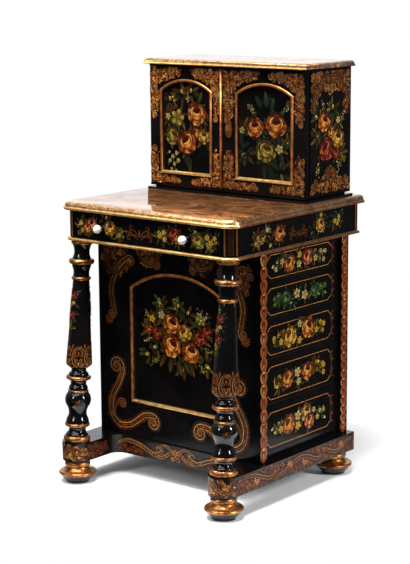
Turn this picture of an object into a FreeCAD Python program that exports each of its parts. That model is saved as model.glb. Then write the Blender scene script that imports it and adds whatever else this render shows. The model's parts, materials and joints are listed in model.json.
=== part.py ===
import FreeCAD, Part
import os
from math import sqrt
from FreeCAD import Vector

# A davenport: a small writing desk in black lacquer. A pedestal case with five drawers in its
# right side stands on a shaped plinth, a frieze with one long drawer reaches forward over two
# raking columns, and a two-door stationery cabinet stands at the back of the writing top.
# Millimetres. X runs to the right, Y to the back, Z up. The origin is the middle of the base.

# ---- Heights, from the floor up -----------------------------------------------------------
foot_height = 62.0
plinth_height = 51.0
moulding_height = 8.0
frieze_height = 74.5
slab_thickness = 20.5
cabinet_board_height = 6.0
cabinet_neck_height = 5.0
cabinet_height = 335.0
cornice_height = 15.0

# ---- Plan sizes ---------------------------------------------------------------------------
frieze_width = 560.0
frieze_depth = 550.0
frieze_corner_radius = 29.0
slab_overhang = 15.0
slab_rear_overhang = 12.0
slab_corner_radius = 40.0
slab_edge_width = 14.5
slab_lip_height = 8.0
moulding_overhang = 7.0
case_side_setback = 4.5
knee_depth = 120.0
case_rear_setback = 35.0
plinth_side_ledge = 17.5
plinth_front_ledge = 6.0
plinth_rear_ledge = 10.0
plinth_arm_width = 80.0
plinth_inner_fillet = 32.0
foot_diameter = 102.0
foot_disc_height = 8.0
foot_ring_height = 20.5
foot_lead = 3.0
rear_foot_inset = 66.0
column_top_inset_x = 33.0
column_top_inset_y = 28.0
column_diameter = 67.0
cabinet_side_setback = 17.0
cabinet_depth = 209.0
cabinet_rear_setback = 12.0
cabinet_board_overhang = 6.0
cabinet_board_rear_overhang = 4.0
cabinet_neck_inset = 10.0
cornice_overhang = 13.5
cornice_lip_height = 5.0

# ---- Board thicknesses and clearances -----------------------------------------------------
plinth_board_thickness = 14.0
plinth_rail_thickness = 24.0
case_frame_thickness = 20.0
case_board_thickness = 18.0
case_back_thickness = 12.0
case_floor_thickness = 10.0
case_top_thickness = 6.0
pilaster_width = 31.0
rear_pilaster_width = 35.0
pilaster_thickness = 9.0
guide_thickness = 12.0
frieze_board_thickness = 18.0
cabinet_side_thickness = 18.0
cabinet_board_thickness = 7.0
cabinet_back_thickness = 8.0
running_gap = 0.4
hinge_fit = 0.05

# ---- Side drawers, top one first ----------------------------------------------------------
drawer_heights = [71.0, 82.0, 91.0, 105.0, 109.0]
drawer_rail_height = 15.0
bottom_rail_height = 24.0
drawer_rail_depth = 45.0
runner_width = 22.0
rear_stile_width = 20.0
drawer_front_thickness = 20.0
drawer_side_thickness = 8.0
drawer_bottom_thickness = 5.0
drawer_box_headroom = 6.0
finger_groove_radius = 5.0
finger_groove_length = 90.0

# ---- Knobs of the frieze drawer -----------------------------------------------------------
knob_radius = 11.0
knob_neck_length = 9.0
knob_spacing = 287.0
knob_pair_offset = -6.0
knob_drop = 3.0

# ---- Arched panels ------------------------------------------------------------------------
bead_width = 8.0
bead_proud = 3.0
panel_setback = 6.0
panel_thickness = 8.0
case_stile_width = 104.5
case_arch_rise = 51.0
case_arch_foot = 97.0
case_arch_height = 370.0
door_arch_rise = 30.0
door_arch_foot = 28.0
door_arch_height = 261.0
door_outer_stile = 37.0
left_meeting_stile = 35.6
right_meeting_stile = 43.6

# ---- Cabinet doors ------------------------------------------------------------------------
door_thickness = 22.0
door_seam_x = -8.0
door_gap = 1.0
door_back_rounding = 7.0
door_front_rounding = 3.0
pivot_from_edge = 8.0
pivot_radius = 2.0
pivot_depth = 4.0
pivot_plate_size = 14.0
pivot_plate_thickness = 1.5
meeting_bead_width = 10.0
meeting_bead_proud = 4.0
lock_width = 34.0
lock_height = 64.0
lock_depth = 10.0
bolt_length = 26.0
bolt_thickness = 5.0
bolt_height = 14.0
bolt_throw = 6.0
bolt_fit = 0.3
bolt_end_room = 1.0
key_from_edge = 19.0
keyhole_radius = 2.5
escutcheon_half_width = 8.0
escutcheon_half_height = 11.0
escutcheon_thickness = 2.0
lock_centre_height = 163.0
shelf_height = 190.0
shelf_thickness = 8.0
shelf_setback = 4.0
divider_thickness = 6.0
compartment_count = 3

# ---- Levels and places that follow --------------------------------------------------------
plinth_z = foot_height
case_z = plinth_z + plinth_height
drawer_bank_height = sum(drawer_heights) + drawer_rail_height * (len(drawer_heights) - 1)
moulding_z = case_z + bottom_rail_height + drawer_bank_height + case_top_thickness
frieze_z = moulding_z + moulding_height
slab_z = frieze_z + frieze_height
cabinet_board_z = slab_z + slab_thickness
cabinet_neck_z = cabinet_board_z + cabinet_board_height
cabinet_z = cabinet_neck_z + cabinet_neck_height
cornice_z = cabinet_z + cabinet_height

total_depth = foot_diameter / 2 + foot_lead + frieze_depth + slab_rear_overhang
foot_front_y = foot_diameter / 2 - total_depth / 2
frieze_front = foot_front_y + foot_lead
frieze_back = frieze_front + frieze_depth
frieze_half = frieze_width / 2
case_half = frieze_half - case_side_setback
case_front = frieze_front + knee_depth
case_back = frieze_back - case_rear_setback
plinth_half = case_half + plinth_side_ledge
plinth_front = case_front - plinth_front_ledge
plinth_back = case_back + plinth_rear_ledge
arm_radius = plinth_arm_width / 2
foot_x = plinth_half - arm_radius
foot_rear_y = frieze_back - rear_foot_inset
column_top_x = frieze_half - column_top_inset_x
column_top_y = frieze_front + column_top_inset_y

cabinet_half = frieze_half - cabinet_side_setback
cabinet_back = frieze_back - cabinet_rear_setback
cabinet_front = cabinet_back - cabinet_depth
door_z0 = cabinet_z + cabinet_board_thickness + running_gap
door_z1 = cornice_z - cabinet_board_thickness - running_gap
door_back = cabinet_front + door_thickness
cabinet_side_front = door_back + door_gap
pivot_y = cabinet_front + door_thickness / 2
lock_z = door_z0 + lock_centre_height
key_x = door_seam_x + running_gap + key_from_edge

side_plane = case_half - pilaster_thickness
inner_plane = side_plane - drawer_front_thickness
left_inner = pilaster_thickness + case_board_thickness - side_plane
bay_y0 = case_front + pilaster_width
bay_y1 = case_back - rear_pilaster_width - rear_stile_width
guide_y0 = case_front + case_frame_thickness
drawer_box_back = left_inner + running_gap
frieze_drawer_half = frieze_half - frieze_corner_radius - running_gap
frieze_drawer_back = frieze_back - frieze_board_thickness - running_gap


# ---- Shape helpers ------------------------------------------------------------------------
def block(x_range, y_range, z_range):
    """A box between two limits on each axis."""
    size = [high - low for low, high in (x_range, y_range, z_range)]
    return Part.makeBox(*size, Vector(x_range[0], y_range[0], z_range[0]))


def across(x, z):
    """A point of an upright section that faces the front."""
    return Vector(x, 0, z)


def flat(x, y):
    """A point of a plan."""
    return Vector(x, y, 0)


def along(y, z):
    """A point of an upright section that faces the side."""
    return Vector(0, y, z)


def trace(to_space, start, *steps):
    """A wire from a start point. A step is an end point, or a middle and an end for an arc."""
    edges = []
    here = start
    for step in steps:
        if isinstance(step[0], tuple):
            middle, there = step
            curve = Part.Arc(to_space(*here), to_space(*middle), to_space(*there))
        else:
            there = step
            curve = Part.LineSegment(to_space(*here), to_space(*there))
        edges.append(curve.toShape())
        here = there
    return Part.Wire(edges)


def turned(unit, start, *steps):
    """A solid turned about the Z axis from a half section, in units, that ends on the axis."""
    section = trace(lambda radius, height: across(unit * radius, unit * height),
                    start, *steps, (0.0, start[1]), start)
    return Part.Face(section).revolve(Vector(0, 0, 0), Vector(0, 0, 1), 360)


def plate(wire, rise):
    """A flat wire drawn out to a solid."""
    return Part.Face(wire).extrude(rise)


def round_fronted(half_width, front, back, radius):
    """The open outline of three sides of a top with round front corners, from the back left."""
    inset = radius * (1 - sqrt(0.5))
    return trace(flat, (-half_width, back), (-half_width, front + radius),
                 ((-half_width + inset, front + inset), (-half_width + radius, front)),
                 (half_width - radius, front),
                 ((half_width - inset, front + inset), (half_width, front + radius)),
                 (half_width, back))


def round_fronted_plate(half_width, front, back, radius, z0, height):
    """A board with round front corners."""
    sides = round_fronted(half_width, front, back, radius)
    rear = Part.LineSegment(flat(half_width, back), flat(-half_width, back)).toShape()
    board = plate(Part.Wire(sides.Edges + [rear]), Vector(0, 0, height))
    return board.translated(Vector(0, 0, z0))


def edge_moulding(half_width, front, back, radius, z0, *section):
    """A moulding swept round the left side, front and right side of a board."""
    path = round_fronted(half_width, front, back, radius)
    profile = trace(lambda out, up: Vector(-half_width - out, back, up), *section)
    strip = path.makePipeShell([profile], True, False)
    return strip.translated(Vector(0, 0, z0))


def arch_outline(centre_x, half_width, foot_z, spring_z, rise, inset=0.0):
    """An upright opening with a low arched head, and the same outline drawn in by an inset."""
    arch_radius = (half_width ** 2 + rise ** 2) / (2 * rise)
    arch_centre = spring_z + rise - arch_radius
    reach = half_width - inset
    shoulder = arch_centre + sqrt((arch_radius - inset) ** 2 - reach ** 2)
    crown = spring_z + rise - inset
    left, right = centre_x - reach, centre_x + reach
    return trace(across, (left, foot_z + inset), (right, foot_z + inset), (right, shoulder),
                 ((centre_x, crown), (left, shoulder)), (left, foot_z + inset))


def arch_plate(arch, y0, y1, inset=0.0):
    """A plate with an arched head between two depths."""
    return plate(arch_outline(*arch, inset), Vector(0, y1 - y0, 0)).translated(Vector(0, y0, 0))


def arch_bead(arch, face_y):
    """The raised half-round bead that holds an arched panel in its frame."""
    front, rear = face_y - bead_proud, face_y + panel_setback
    ring = arch_plate(arch, front, rear).cut(arch_plate(arch, front, rear, bead_width))
    crest = [edge for edge in ring.Edges if edge.BoundBox.YMax < front + 0.01]
    return ring.makeFillet(bead_proud - 0.2, crest)


def arched_frame(x_range, z_range, arch, y0, y1):
    """Two stiles, a bottom rail and a top rail hollowed to the arch, as four pieces."""
    centre_x, half_width, foot_z = arch[:3]
    left, right = centre_x - half_width, centre_x + half_width
    deep = (y0, y1)
    top_rail = block((left, right), deep, (foot_z, z_range[1])).cut(arch_plate(arch, y0, y1))
    return [block((x_range[0], left), deep, z_range), block((right, x_range[1]), deep, z_range),
            block((left, right), deep, (z_range[0], foot_z)), top_rail]


def save(name, *solids):
    """One STEP file for one node. A node may hold several separate solids."""
    shape = solids[0] if len(solids) == 1 else Part.makeCompound(list(solids))
    shape.exportStep("parts/" + name + ".step")


# ---- Plinth and feet ----------------------------------------------------------------------
def turned_foot(x, y):
    """A flattened bun foot with a base disc below and a ring above its neck."""
    rim = foot_diameter / 2
    disc = foot_disc_height
    waist = foot_height - foot_ring_height
    bun = waist - disc
    foot = turned(1.0, (rim - 19.5, 0.0),(rim - 18.5, disc - 2.0), (rim - 14.5, disc),
                  (rim - 3.5, disc + 0.37 * bun),
                  ((rim, disc + 0.54 * bun), (rim - 3.0, disc + 0.69 * bun)),
                  ((rim - 13.5, disc + 0.76 * bun), (rim - 21.0, waist)),
                  (rim - 19.0, waist + 2.0), ((rim - 16.0, waist + 9.0), (rim - 19.0, waist + 16.0)),
                  (rim - 23.0, waist + 17.5), (rim - 23.0, foot_height), (0.0, foot_height))
    return foot.translated(Vector(x, y, 0))


def arm_outline(side):
    """The plan of one forward arm of the plinth, with a round end and a hollow inner corner."""
    inner = foot_x - arm_radius
    bend = plinth_inner_fillet
    hollow = bend * (1 - sqrt(0.5))
    return trace(lambda x, y: flat(side * x, y), (plinth_half, plinth_front),
                 (plinth_half, foot_front_y),
                 ((foot_x, foot_front_y - arm_radius), (inner, foot_front_y)),
                 (inner, plinth_front - bend),
                 ((inner - hollow, plinth_front - hollow), (inner - bend, plinth_front)),
                 (plinth_half, plinth_front))


def plinth_arm(side):
    """One forward arm, as thick as the whole plinth, that carries a column."""
    arm = plate(arm_outline(side), Vector(0, 0, plinth_height))
    return arm.translated(Vector(0, 0, plinth_z))


def build_plinth():
    """Feet, arms, four rails and the board that the case stands on."""
    rails_z = (plinth_z, case_z - plinth_board_thickness)
    wide = (-plinth_half, plinth_half)
    front_rail = (plinth_front, plinth_front + plinth_rail_thickness)
    rear_rail = (plinth_back - plinth_rail_thickness, plinth_back)
    side_run = (front_rail[1], rear_rail[0])
    save("plinth_board", block(wide, (plinth_front, plinth_back), (rails_z[1], case_z)))
    foot_block = (foot_rear_y - arm_radius, rear_rail[0])
    inner = plinth_half - plinth_rail_thickness
    reach = foot_x - arm_radius
    save("plinth_rails", block(wide, front_rail, rails_z), block(wide, rear_rail, rails_z),
         block((-plinth_half, -inner), side_run, rails_z),
         block((inner, plinth_half), side_run, rails_z),
         block((-inner, -reach), foot_block, rails_z), block((reach, inner), foot_block, rails_z))
    save("plinth_arms", plinth_arm(-1), plinth_arm(1))
    for name, x, y in (("front_left", -foot_x, foot_front_y), ("front_right", foot_x, foot_front_y),
                       ("back_left", -foot_x, foot_rear_y), ("back_right", foot_x, foot_rear_y)):
        save("foot_" + name, turned_foot(x, y))


# ---- Columns ------------------------------------------------------------------------------
def column(side):
    """A turned column that leans forward and a little outward towards its foot. Its turnings are
    drawn in units of 67 to the base's width, and the tapering shaft takes up the length."""
    unit = column_diameter / 67
    spare = 4.0
    top = Vector(side * column_top_x, column_top_y, moulding_z)
    bottom = Vector(side * foot_x, foot_front_y, case_z)
    axis = top - bottom
    length = axis.Length / unit
    head = length - 12.0
    neck = head - 96.0
    stick = turned(unit, (33.5, -spare), (33.5, 0.5), ((36.0, 8.0), (33.0, 15.0)),
                   (28.5, 15.5), ((30.0, 19.0), (27.0, 23.0)), ((22.5, 31.0), (28.0, 41.5)),
                   (31.5, 42.0), ((33.5, 46.0), (31.5, 50.0)),
                   ((30.0, 59.0), (25.0, 70.0)), ((24.5, 84.0), (29.5, 97.0)),
                   ((34.8, 117.0), (26.5, 135.0)), ((28.0, 138.0), (25.0, 141.0)),
                   ((25.5, 147.0), (22.0, 154.0)), ((21.0, 161.0), (27.0, 169.5)),
                   (30.0, 170.0), ((33.5, 175.0), (30.0, 180.0)),
                   (25.5, 180.5), ((26.5, 185.0), (22.0, 190.0)), ((20.0, 197.0), (25.0, 203.0)),
                   (33.5, 211.0), (34.6, 215.0), (21.9, neck),
                   (24.0, neck + 0.5), ((26.0, neck + 4.5), (24.0, neck + 8.5)),
                   (22.0, neck + 9.0), ((21.5, neck + 23.5), (25.0, neck + 35.5)), (26.0, neck + 43.0),
                   (30.5, neck + 43.5), ((34.0, neck + 50.0), (30.5, neck + 56.5)),
                   (25.0, neck + 57.5), ((20.5, neck + 75.5), (25.5, head - 1.0)),
                   (26.0, head), ((29.0, head + 4.5), (26.0, head + 9.0)),
                   (25.0, head + 9.5), (25.0, length + spare), (0.0, length + spare))
    stick.Placement = FreeCAD.Placement(bottom, FreeCAD.Rotation(Vector(0, 0, 1), axis))
    room = block((-frieze_width, frieze_width), (-total_depth, total_depth), (case_z, moulding_z))
    return stick.common(room)


# ---- Pedestal case ------------------------------------------------------------------------
def drawer_levels():
    """The bottom and top of each side drawer's opening, from the top one down."""
    levels = []
    top = moulding_z - case_top_thickness
    for height in drawer_heights:
        levels.append((top - height, top))
        top -= height + drawer_rail_height
    return levels


def drawer_rails():
    """The rails between the openings, flush with the drawer fronts."""
    return [block((side_plane - drawer_rail_depth, side_plane), (bay_y0, bay_y1),
                  (bottom - drawer_rail_height, bottom)) for bottom, top in drawer_levels()[:-1]]


def runners():
    """Two runners under every drawer, from the rail in front to the left side."""
    levels = drawer_levels()
    between = len(levels) - 1
    ends = [side_plane - drawer_rail_depth] * between + [inner_plane]
    heights = [drawer_rail_height] * between + [levels[-1][0] - case_z - case_floor_thickness]
    pieces = []
    for (bottom, top), end, height in zip(levels, ends, heights):
        for y0 in (bay_y0, bay_y1 - runner_width):
            pieces.append(block((left_inner, end), (y0, y0 + runner_width), (bottom - height, bottom)))
    return pieces


def right_side_frame():
    """The upright stiles and the bottom rail round the drawers."""
    thick = (inner_plane, side_plane)
    foot = drawer_levels()[-1][0]
    tall = (case_z, moulding_z - case_top_thickness)
    return [block(thick, (guide_y0, bay_y0), tall), block(thick, (bay_y1, case_back), tall),
            block(thick, (bay_y0, bay_y1), (case_z, foot))]


def build_left_side():
    """The left side board and, on its face, a frame with dummy drawer fronts."""
    under_top = (case_z, moulding_z - case_top_thickness)
    face = (-side_plane, pilaster_thickness - side_plane)
    save("case_left_side", block((face[1], left_inner), (guide_y0, case_back), under_top))
    frame = block(face, (guide_y0, case_back), under_top)
    dummies = []
    for bottom, top in drawer_levels():
        frame = frame.cut(block(face, (bay_y0, bay_y1), (bottom, top)))
        dummies.append(block(face, (bay_y0 + running_gap, bay_y1 - running_gap),
                             (bottom + running_gap, top - running_gap)))
    save("left_side_frame", frame)
    save("dummy_drawer_fronts", *dummies)


def build_case():
    """The front with its arched panel, the right side, back, floor, top and inner guides."""
    tall = (case_z, moulding_z)
    under_top = (case_z, moulding_z - case_top_thickness)
    arch_foot = case_z + case_arch_foot
    spring = arch_foot + case_arch_height - case_arch_rise
    arch = (0.0, side_plane - case_stile_width, arch_foot, spring, case_arch_rise)
    panel_front = case_front + panel_setback
    save("case_front_frame", *arched_frame((-side_plane, side_plane), tall, arch, case_front, guide_y0))
    save("case_front_panel", arch_plate(arch, panel_front, panel_front + panel_thickness))
    save("case_front_bead", arch_bead(arch, case_front))
    for side, sign in (("left", -1), ("right", 1)):
        face = sorted((sign * side_plane, sign * case_half))
        save(side + "_pilasters", block(face, (case_front, bay_y0), tall),
             block(face, (case_back - rear_pilaster_width, case_back), tall))
    save("right_side_frame", *right_side_frame())
    inside = (left_inner, inner_plane)
    back_range = (case_back - case_back_thickness, case_back)
    save("case_back", block(inside, back_range, under_top))
    save("case_floor_and_top",
         block(inside, (guide_y0, back_range[0]), (case_z, case_z + case_floor_thickness)),
         block((-side_plane, side_plane), (guide_y0, case_back), (under_top[1], moulding_z)))
    between = (case_z + case_floor_thickness, under_top[1])
    save("drawer_runners", block(inside, (guide_y0, bay_y0), between),
         block(inside, (bay_y1, bay_y1 + guide_thickness), between), *drawer_rails(), *runners())


def side_drawer_front(z0, z1):
    """A drawer front with a finger groove hidden in its lower edge."""
    front = block((inner_plane, side_plane), (bay_y0 + running_gap, bay_y1 - running_gap),
                  (z0 + running_gap, z1 - running_gap))
    middle = (bay_y0 + bay_y1) / 2
    start = Vector((inner_plane + side_plane) / 2, middle - finger_groove_length / 2, z0 + running_gap)
    groove = Part.makeCylinder(finger_groove_radius, finger_groove_length, start, Vector(0, 1, 0))
    return front.cut(groove)


def side_drawer_box(z0, z1):
    """Two sides, a back and a bottom behind a side drawer's front. The back stops at the left side."""
    x_range = (drawer_box_back, inner_plane)
    y0, y1 = bay_y0 + running_gap, bay_y1 - running_gap
    wall = drawer_side_thickness
    tall = (z0 + running_gap, z1 - drawer_box_headroom)
    between = (y0 + wall, y1 - wall)
    return [block(x_range, (y0, y0 + wall), tall), block(x_range, (y1 - wall, y1), tall),
            block((x_range[0], x_range[0] + wall), between, tall),
            block((x_range[0] + wall, x_range[1]), between, (tall[0], tall[0] + drawer_bottom_thickness))]


def build_side_drawers():
    """Five graduated drawers that run out to the right."""
    for number, (z0, z1) in enumerate(drawer_levels(), 1):
        save("side_drawer_%d_front" % number, side_drawer_front(z0, z1))
        save("side_drawer_%d_box" % number, *side_drawer_box(z0, z1))


# ---- Frieze, its drawer and the writing top -----------------------------------------------
def corner_post(sign):
    """A quarter-round post at a front corner of the frieze."""
    radius = frieze_corner_radius
    bend = radius * (1 - sqrt(0.5))
    outline = trace(lambda x, y: flat(sign * x, y), (frieze_half - radius, frieze_front),
                    ((frieze_half - bend, frieze_front + bend), (frieze_half, frieze_front + radius)),
                    (frieze_half - radius, frieze_front + radius), (frieze_half - radius, frieze_front))
    return plate(outline, Vector(0, 0, frieze_height)).translated(Vector(0, 0, frieze_z))


def build_frieze():
    """The moulded base board, the walls, the corner posts and the drawer's guides."""
    wall = frieze_board_thickness
    tall = (frieze_z, slab_z)
    post_back = frieze_front + frieze_corner_radius
    board = round_fronted_plate(frieze_half, frieze_front, frieze_back, frieze_corner_radius,
                                moulding_z, moulding_height)
    crest = moulding_overhang
    edge = edge_moulding(frieze_half, frieze_front, frieze_back, frieze_corner_radius, moulding_z,
                         (0.0, 0.0), (crest / 2, 0.0),
                         ((crest, moulding_height / 2), (crest / 2, moulding_height)),
                         (0.0, moulding_height), (0.0, 0.0))
    save("frieze_base", board.fuse(edge).removeSplitter())
    save("frieze_sides", block((-frieze_half, wall - frieze_half), (post_back, frieze_back), tall),
         block((frieze_half - wall, frieze_half), (post_back, frieze_back), tall))
    inside = (wall - frieze_half, frieze_half - wall)
    save("frieze_back", block(inside, (frieze_back - wall, frieze_back), tall))
    save("frieze_corner_posts", corner_post(-1), corner_post(1))
    guide_x = frieze_half - frieze_corner_radius
    guide_y = (post_back, frieze_back - wall)
    save("frieze_drawer_guides", block((wall - frieze_half, -guide_x), guide_y, tall),
         block((guide_x, frieze_half - wall), guide_y, tall))


def knob(side):
    """A ball knob on a short waisted neck, with its axis towards the front."""
    ball = knob_radius
    neck = knob_neck_length
    seat = 0.5 * ball
    centre = neck + sqrt(ball ** 2 - seat ** 2)
    body = turned(1.0, (0.64 * ball, 0.0), (0.64 * ball, 0.18 * neck),
                  ((0.42 * ball, 0.6 * neck), (seat, neck)), ((ball, centre), (0.0, centre + ball)))
    body.rotate(Vector(0, 0, 0), Vector(1, 0, 0), 90)
    return body.translated(Vector(knob_pair_offset + side * knob_spacing / 2, frieze_front,
                                  frieze_z + frieze_height / 2 - knob_drop))


def build_frieze_drawer():
    """The long drawer in the frieze, which runs out to the front."""
    half = frieze_drawer_half
    z0, z1 = frieze_z + running_gap, slab_z - running_gap
    wall = drawer_side_thickness
    front_back = frieze_front + frieze_board_thickness
    save("frieze_drawer_front", block((-half, half), (frieze_front, front_back), (z0, z1)))
    y_range = (front_back, frieze_drawer_back)
    tall = (z0, z1 - drawer_box_headroom)
    between = (wall - half, half - wall)
    save("frieze_drawer_box",
         block((-half, wall - half), y_range, tall), block((half - wall, half), y_range, tall),
         block(between, (y_range[1] - wall, y_range[1]), tall),
         block(between, (y_range[0], y_range[1] - wall), (z0, z0 + drawer_bottom_thickness)))
    save("frieze_drawer_knobs", knob(-1), knob(1))


def build_writing_top():
    """The writing surface, with an ovolo edge above a round lip on its front and sides."""
    edge = slab_edge_width
    lip = slab_lip_height
    half = frieze_half + slab_overhang - edge
    front, back = frieze_front - slab_overhang + edge, frieze_back + slab_rear_overhang
    radius = slab_corner_radius - edge
    board = round_fronted_plate(half, front, back, radius, slab_z, slab_thickness)
    strip = edge_moulding(half, front, back, radius, slab_z, (0.0, 0.0), (edge - 2.5, 0.0),
                          ((edge, lip / 2), (edge - 2.5, lip)), (edge - 4.0, lip),
                          ((edge * 0.5, slab_thickness - 3.4), (0.0, slab_thickness)), (0.0, 0.0))
    save("writing_top", board.fuse(strip).removeSplitter())


# ---- Stationery cabinet -------------------------------------------------------------------
def pivot_x(sign):
    """Where a door's pivots stand across the cabinet."""
    return sign * (cabinet_half - pivot_from_edge)


def plate_blanks():
    """Four plates let into the bottom and top boards, before they are bored."""
    half = pivot_plate_size / 2
    deep = (pivot_y - half, pivot_y + half)
    blanks = []
    for x in (pivot_x(-1), pivot_x(1)):
        for z0 in (cabinet_z + cabinet_board_thickness - pivot_plate_thickness,
                   cornice_z - cabinet_board_thickness):
            blanks.append(block((x - half, x + half), deep, (z0, z0 + pivot_plate_thickness)))
    return blanks


def pin_holes():
    """The four holes that the door pins turn in, through the plates into the boards."""
    reach = pivot_depth + hinge_fit
    holes = []
    for x in (pivot_x(-1), pivot_x(1)):
        for z0 in (cabinet_z + cabinet_board_thickness - reach, cornice_z - cabinet_board_thickness):
            holes.append(Part.makeCylinder(pivot_radius + hinge_fit, reach, Vector(x, pivot_y, z0)))
    return holes


def cabinet_board(z0):
    """A bottom or top board, cut out for the pivot plates and the ends of the pins."""
    board = block((-cabinet_half, cabinet_half), (cabinet_front, cabinet_back),
                  (z0, z0 + cabinet_board_thickness))
    return board.cut(plate_blanks() + pin_holes())


def cornice():
    """The crowning board, moulded alike on its front and sides and mitred at the corners."""
    low, high = cornice_z, cornice_z + cornice_height
    out = cornice_overhang
    lip = cornice_lip_height

    def left_edge(edge):
        return [((edge, low + lip / 2), (edge + 1.5, low + lip)), (edge + 2.5, low + lip),
                ((edge + 5.5, high - 3.5), (edge + out - 1.0, high))]

    reach = cabinet_half + out
    left = left_edge(-reach)
    right = [((reach - 5.5, high - 3.5), (reach - 2.5, low + lip)), (reach - 1.5, low + lip),
             ((reach, low + lip / 2), (reach - 1.5, low)), (1.5 - reach, low)]
    wide = trace(across, (1.5 - reach, low), *left, (reach - out + 1.0, high), *right)
    front = cabinet_front - out
    deep = trace(along, (front + 1.5, low), *left_edge(front), (cabinet_back, high),
                 (cabinet_back, low), (front + 1.5, low))
    bar = plate(wide, Vector(0, 2 * total_depth, 0)).translated(Vector(0, -total_depth, 0))
    beam = plate(deep, Vector(2 * frieze_width, 0, 0)).translated(Vector(-frieze_width, 0, 0))
    return bar.common(beam)


def build_cabinet():
    """The carcase of the stationery cabinet on its neck and base board."""
    over = cabinet_board_overhang
    inset = cabinet_neck_inset
    front, back, half = cabinet_front, cabinet_back, cabinet_half
    save("cabinet_base",
         block((-half - over, half + over), (front - over, back + cabinet_board_rear_overhang),
               (cabinet_board_z, cabinet_neck_z)),
         block((inset - half, half - inset), (front + inset, back - inset), (cabinet_neck_z, cabinet_z)))
    save("cabinet_boards", cabinet_board(cabinet_z), cabinet_board(cornice_z - cabinet_board_thickness))
    save("pivot_plates", *[blank.cut(pin_holes()) for blank in plate_blanks()])
    wall = cabinet_side_thickness
    tall = (cabinet_z + cabinet_board_thickness, cornice_z - cabinet_board_thickness)
    deep = (cabinet_side_front, back)
    save("cabinet_sides", block((-half, wall - half), deep, tall), block((half - wall, half), deep, tall))
    inside = (wall - half, half - wall)
    save("cabinet_back", block(inside, (back - cabinet_back_thickness, back), tall))
    shelf_z = cabinet_z + shelf_height
    inner_deep = (cabinet_side_front + shelf_setback, back - cabinet_back_thickness)
    shelf = block(inside, inner_deep, (shelf_z, shelf_z + shelf_thickness))
    pitch = (inside[1] - inside[0]) / compartment_count
    centres = [inside[0] + pitch * place for place in range(1, compartment_count)]
    half_divider = divider_thickness / 2
    dividers = [block((x - half_divider, x + half_divider), inner_deep, (tall[0], shelf_z)) for x in centres]
    save("cabinet_shelves", shelf, *dividers)
    save("cabinet_cornice", cornice())


# ---- Cabinet doors ------------------------------------------------------------------------
def door_sizes(sign):
    """The width limits of a door and the arch in it."""
    outer = sign * cabinet_half
    seam = door_seam_x + sign * running_gap
    arch_ends = (outer - sign * door_outer_stile,
                 seam + sign * (right_meeting_stile if sign > 0 else left_meeting_stile))
    foot = door_z0 + door_arch_foot
    spring = foot + door_arch_height - door_arch_rise
    arch = (sum(arch_ends) / 2, abs(arch_ends[0] - arch_ends[1]) / 2, foot, spring, door_arch_rise)
    return sorted((outer, seam)), arch


def rounded_stile(stile, sign):
    """The outer stile of a door, with its upright outer edges rounded so that it can turn."""
    outer = sign * cabinet_half

    def upright(y):
        return [edge for edge in stile.Edges
                if abs(edge.BoundBox.XMin - outer) < 0.01 and abs(edge.BoundBox.XMax - outer) < 0.01
                and abs(edge.BoundBox.YMin - y) < 0.01 and abs(edge.BoundBox.YMax - y) < 0.01]

    stile = stile.makeFillet(door_back_rounding, upright(door_back))
    return stile.makeFillet(door_front_rounding, upright(cabinet_front))


def lock_block():
    """The lock case as a block, in its mortise in the right door's meeting stile."""
    edge = door_seam_x + running_gap
    half = lock_height / 2
    return block((edge, edge + lock_width), (door_back - lock_depth, door_back),
                 (lock_z - half, lock_z + half))


def bolt_block(reach, gap):
    """The bolt drawn back flush in the lock, or a space for it that reaches out and has a gap round it."""
    edge = door_seam_x + running_gap
    middle = door_back - lock_depth / 2
    thick, high = bolt_thickness / 2 + gap, bolt_height / 2 + gap
    return block((edge - reach, edge + bolt_length + gap), (middle - thick, middle + thick),
                 (lock_z - high, lock_z + high))


def key_way(start_y, length):
    """A round hole for the key, towards the back."""
    return Part.makeCylinder(keyhole_radius, length, Vector(key_x, start_y, lock_z), Vector(0, 1, 0))


def door_pivots(sign):
    """The two brass pins of a door, half in the door and half in the cabinet's plates."""
    x = pivot_x(sign)
    length = 2 * pivot_depth
    return [Part.makeCylinder(pivot_radius, length, Vector(x, pivot_y, door_z0 - running_gap - pivot_depth)),
            Part.makeCylinder(pivot_radius, length, Vector(x, pivot_y, door_z1 + running_gap - pivot_depth))]


def build_door(side, sign):
    """One door: an arched frame, its panel and bead, and its pins."""
    x_range, arch = door_sizes(sign)
    pieces = arched_frame(x_range, (door_z0, door_z1), arch, cabinet_front, door_back)
    outer = 1 if sign > 0 else 0
    meeting = 1 - outer
    pieces[outer] = rounded_stile(pieces[outer], sign).cut(door_pivots(sign))
    if sign > 0:
        pieces[meeting] = pieces[meeting].cut([lock_block(), key_way(cabinet_front, door_thickness)])
    else:
        pieces[meeting] = pieces[meeting].cut(bolt_block(bolt_throw + bolt_end_room, bolt_fit))
    save(side + "_door_frame", *pieces)
    panel_front = cabinet_front + panel_setback
    save(side + "_door_panel", arch_plate(arch, panel_front, panel_front + panel_thickness))
    save(side + "_door_bead", arch_bead(arch, cabinet_front))
    save(side + "_door_pivots", *door_pivots(sign))


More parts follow.
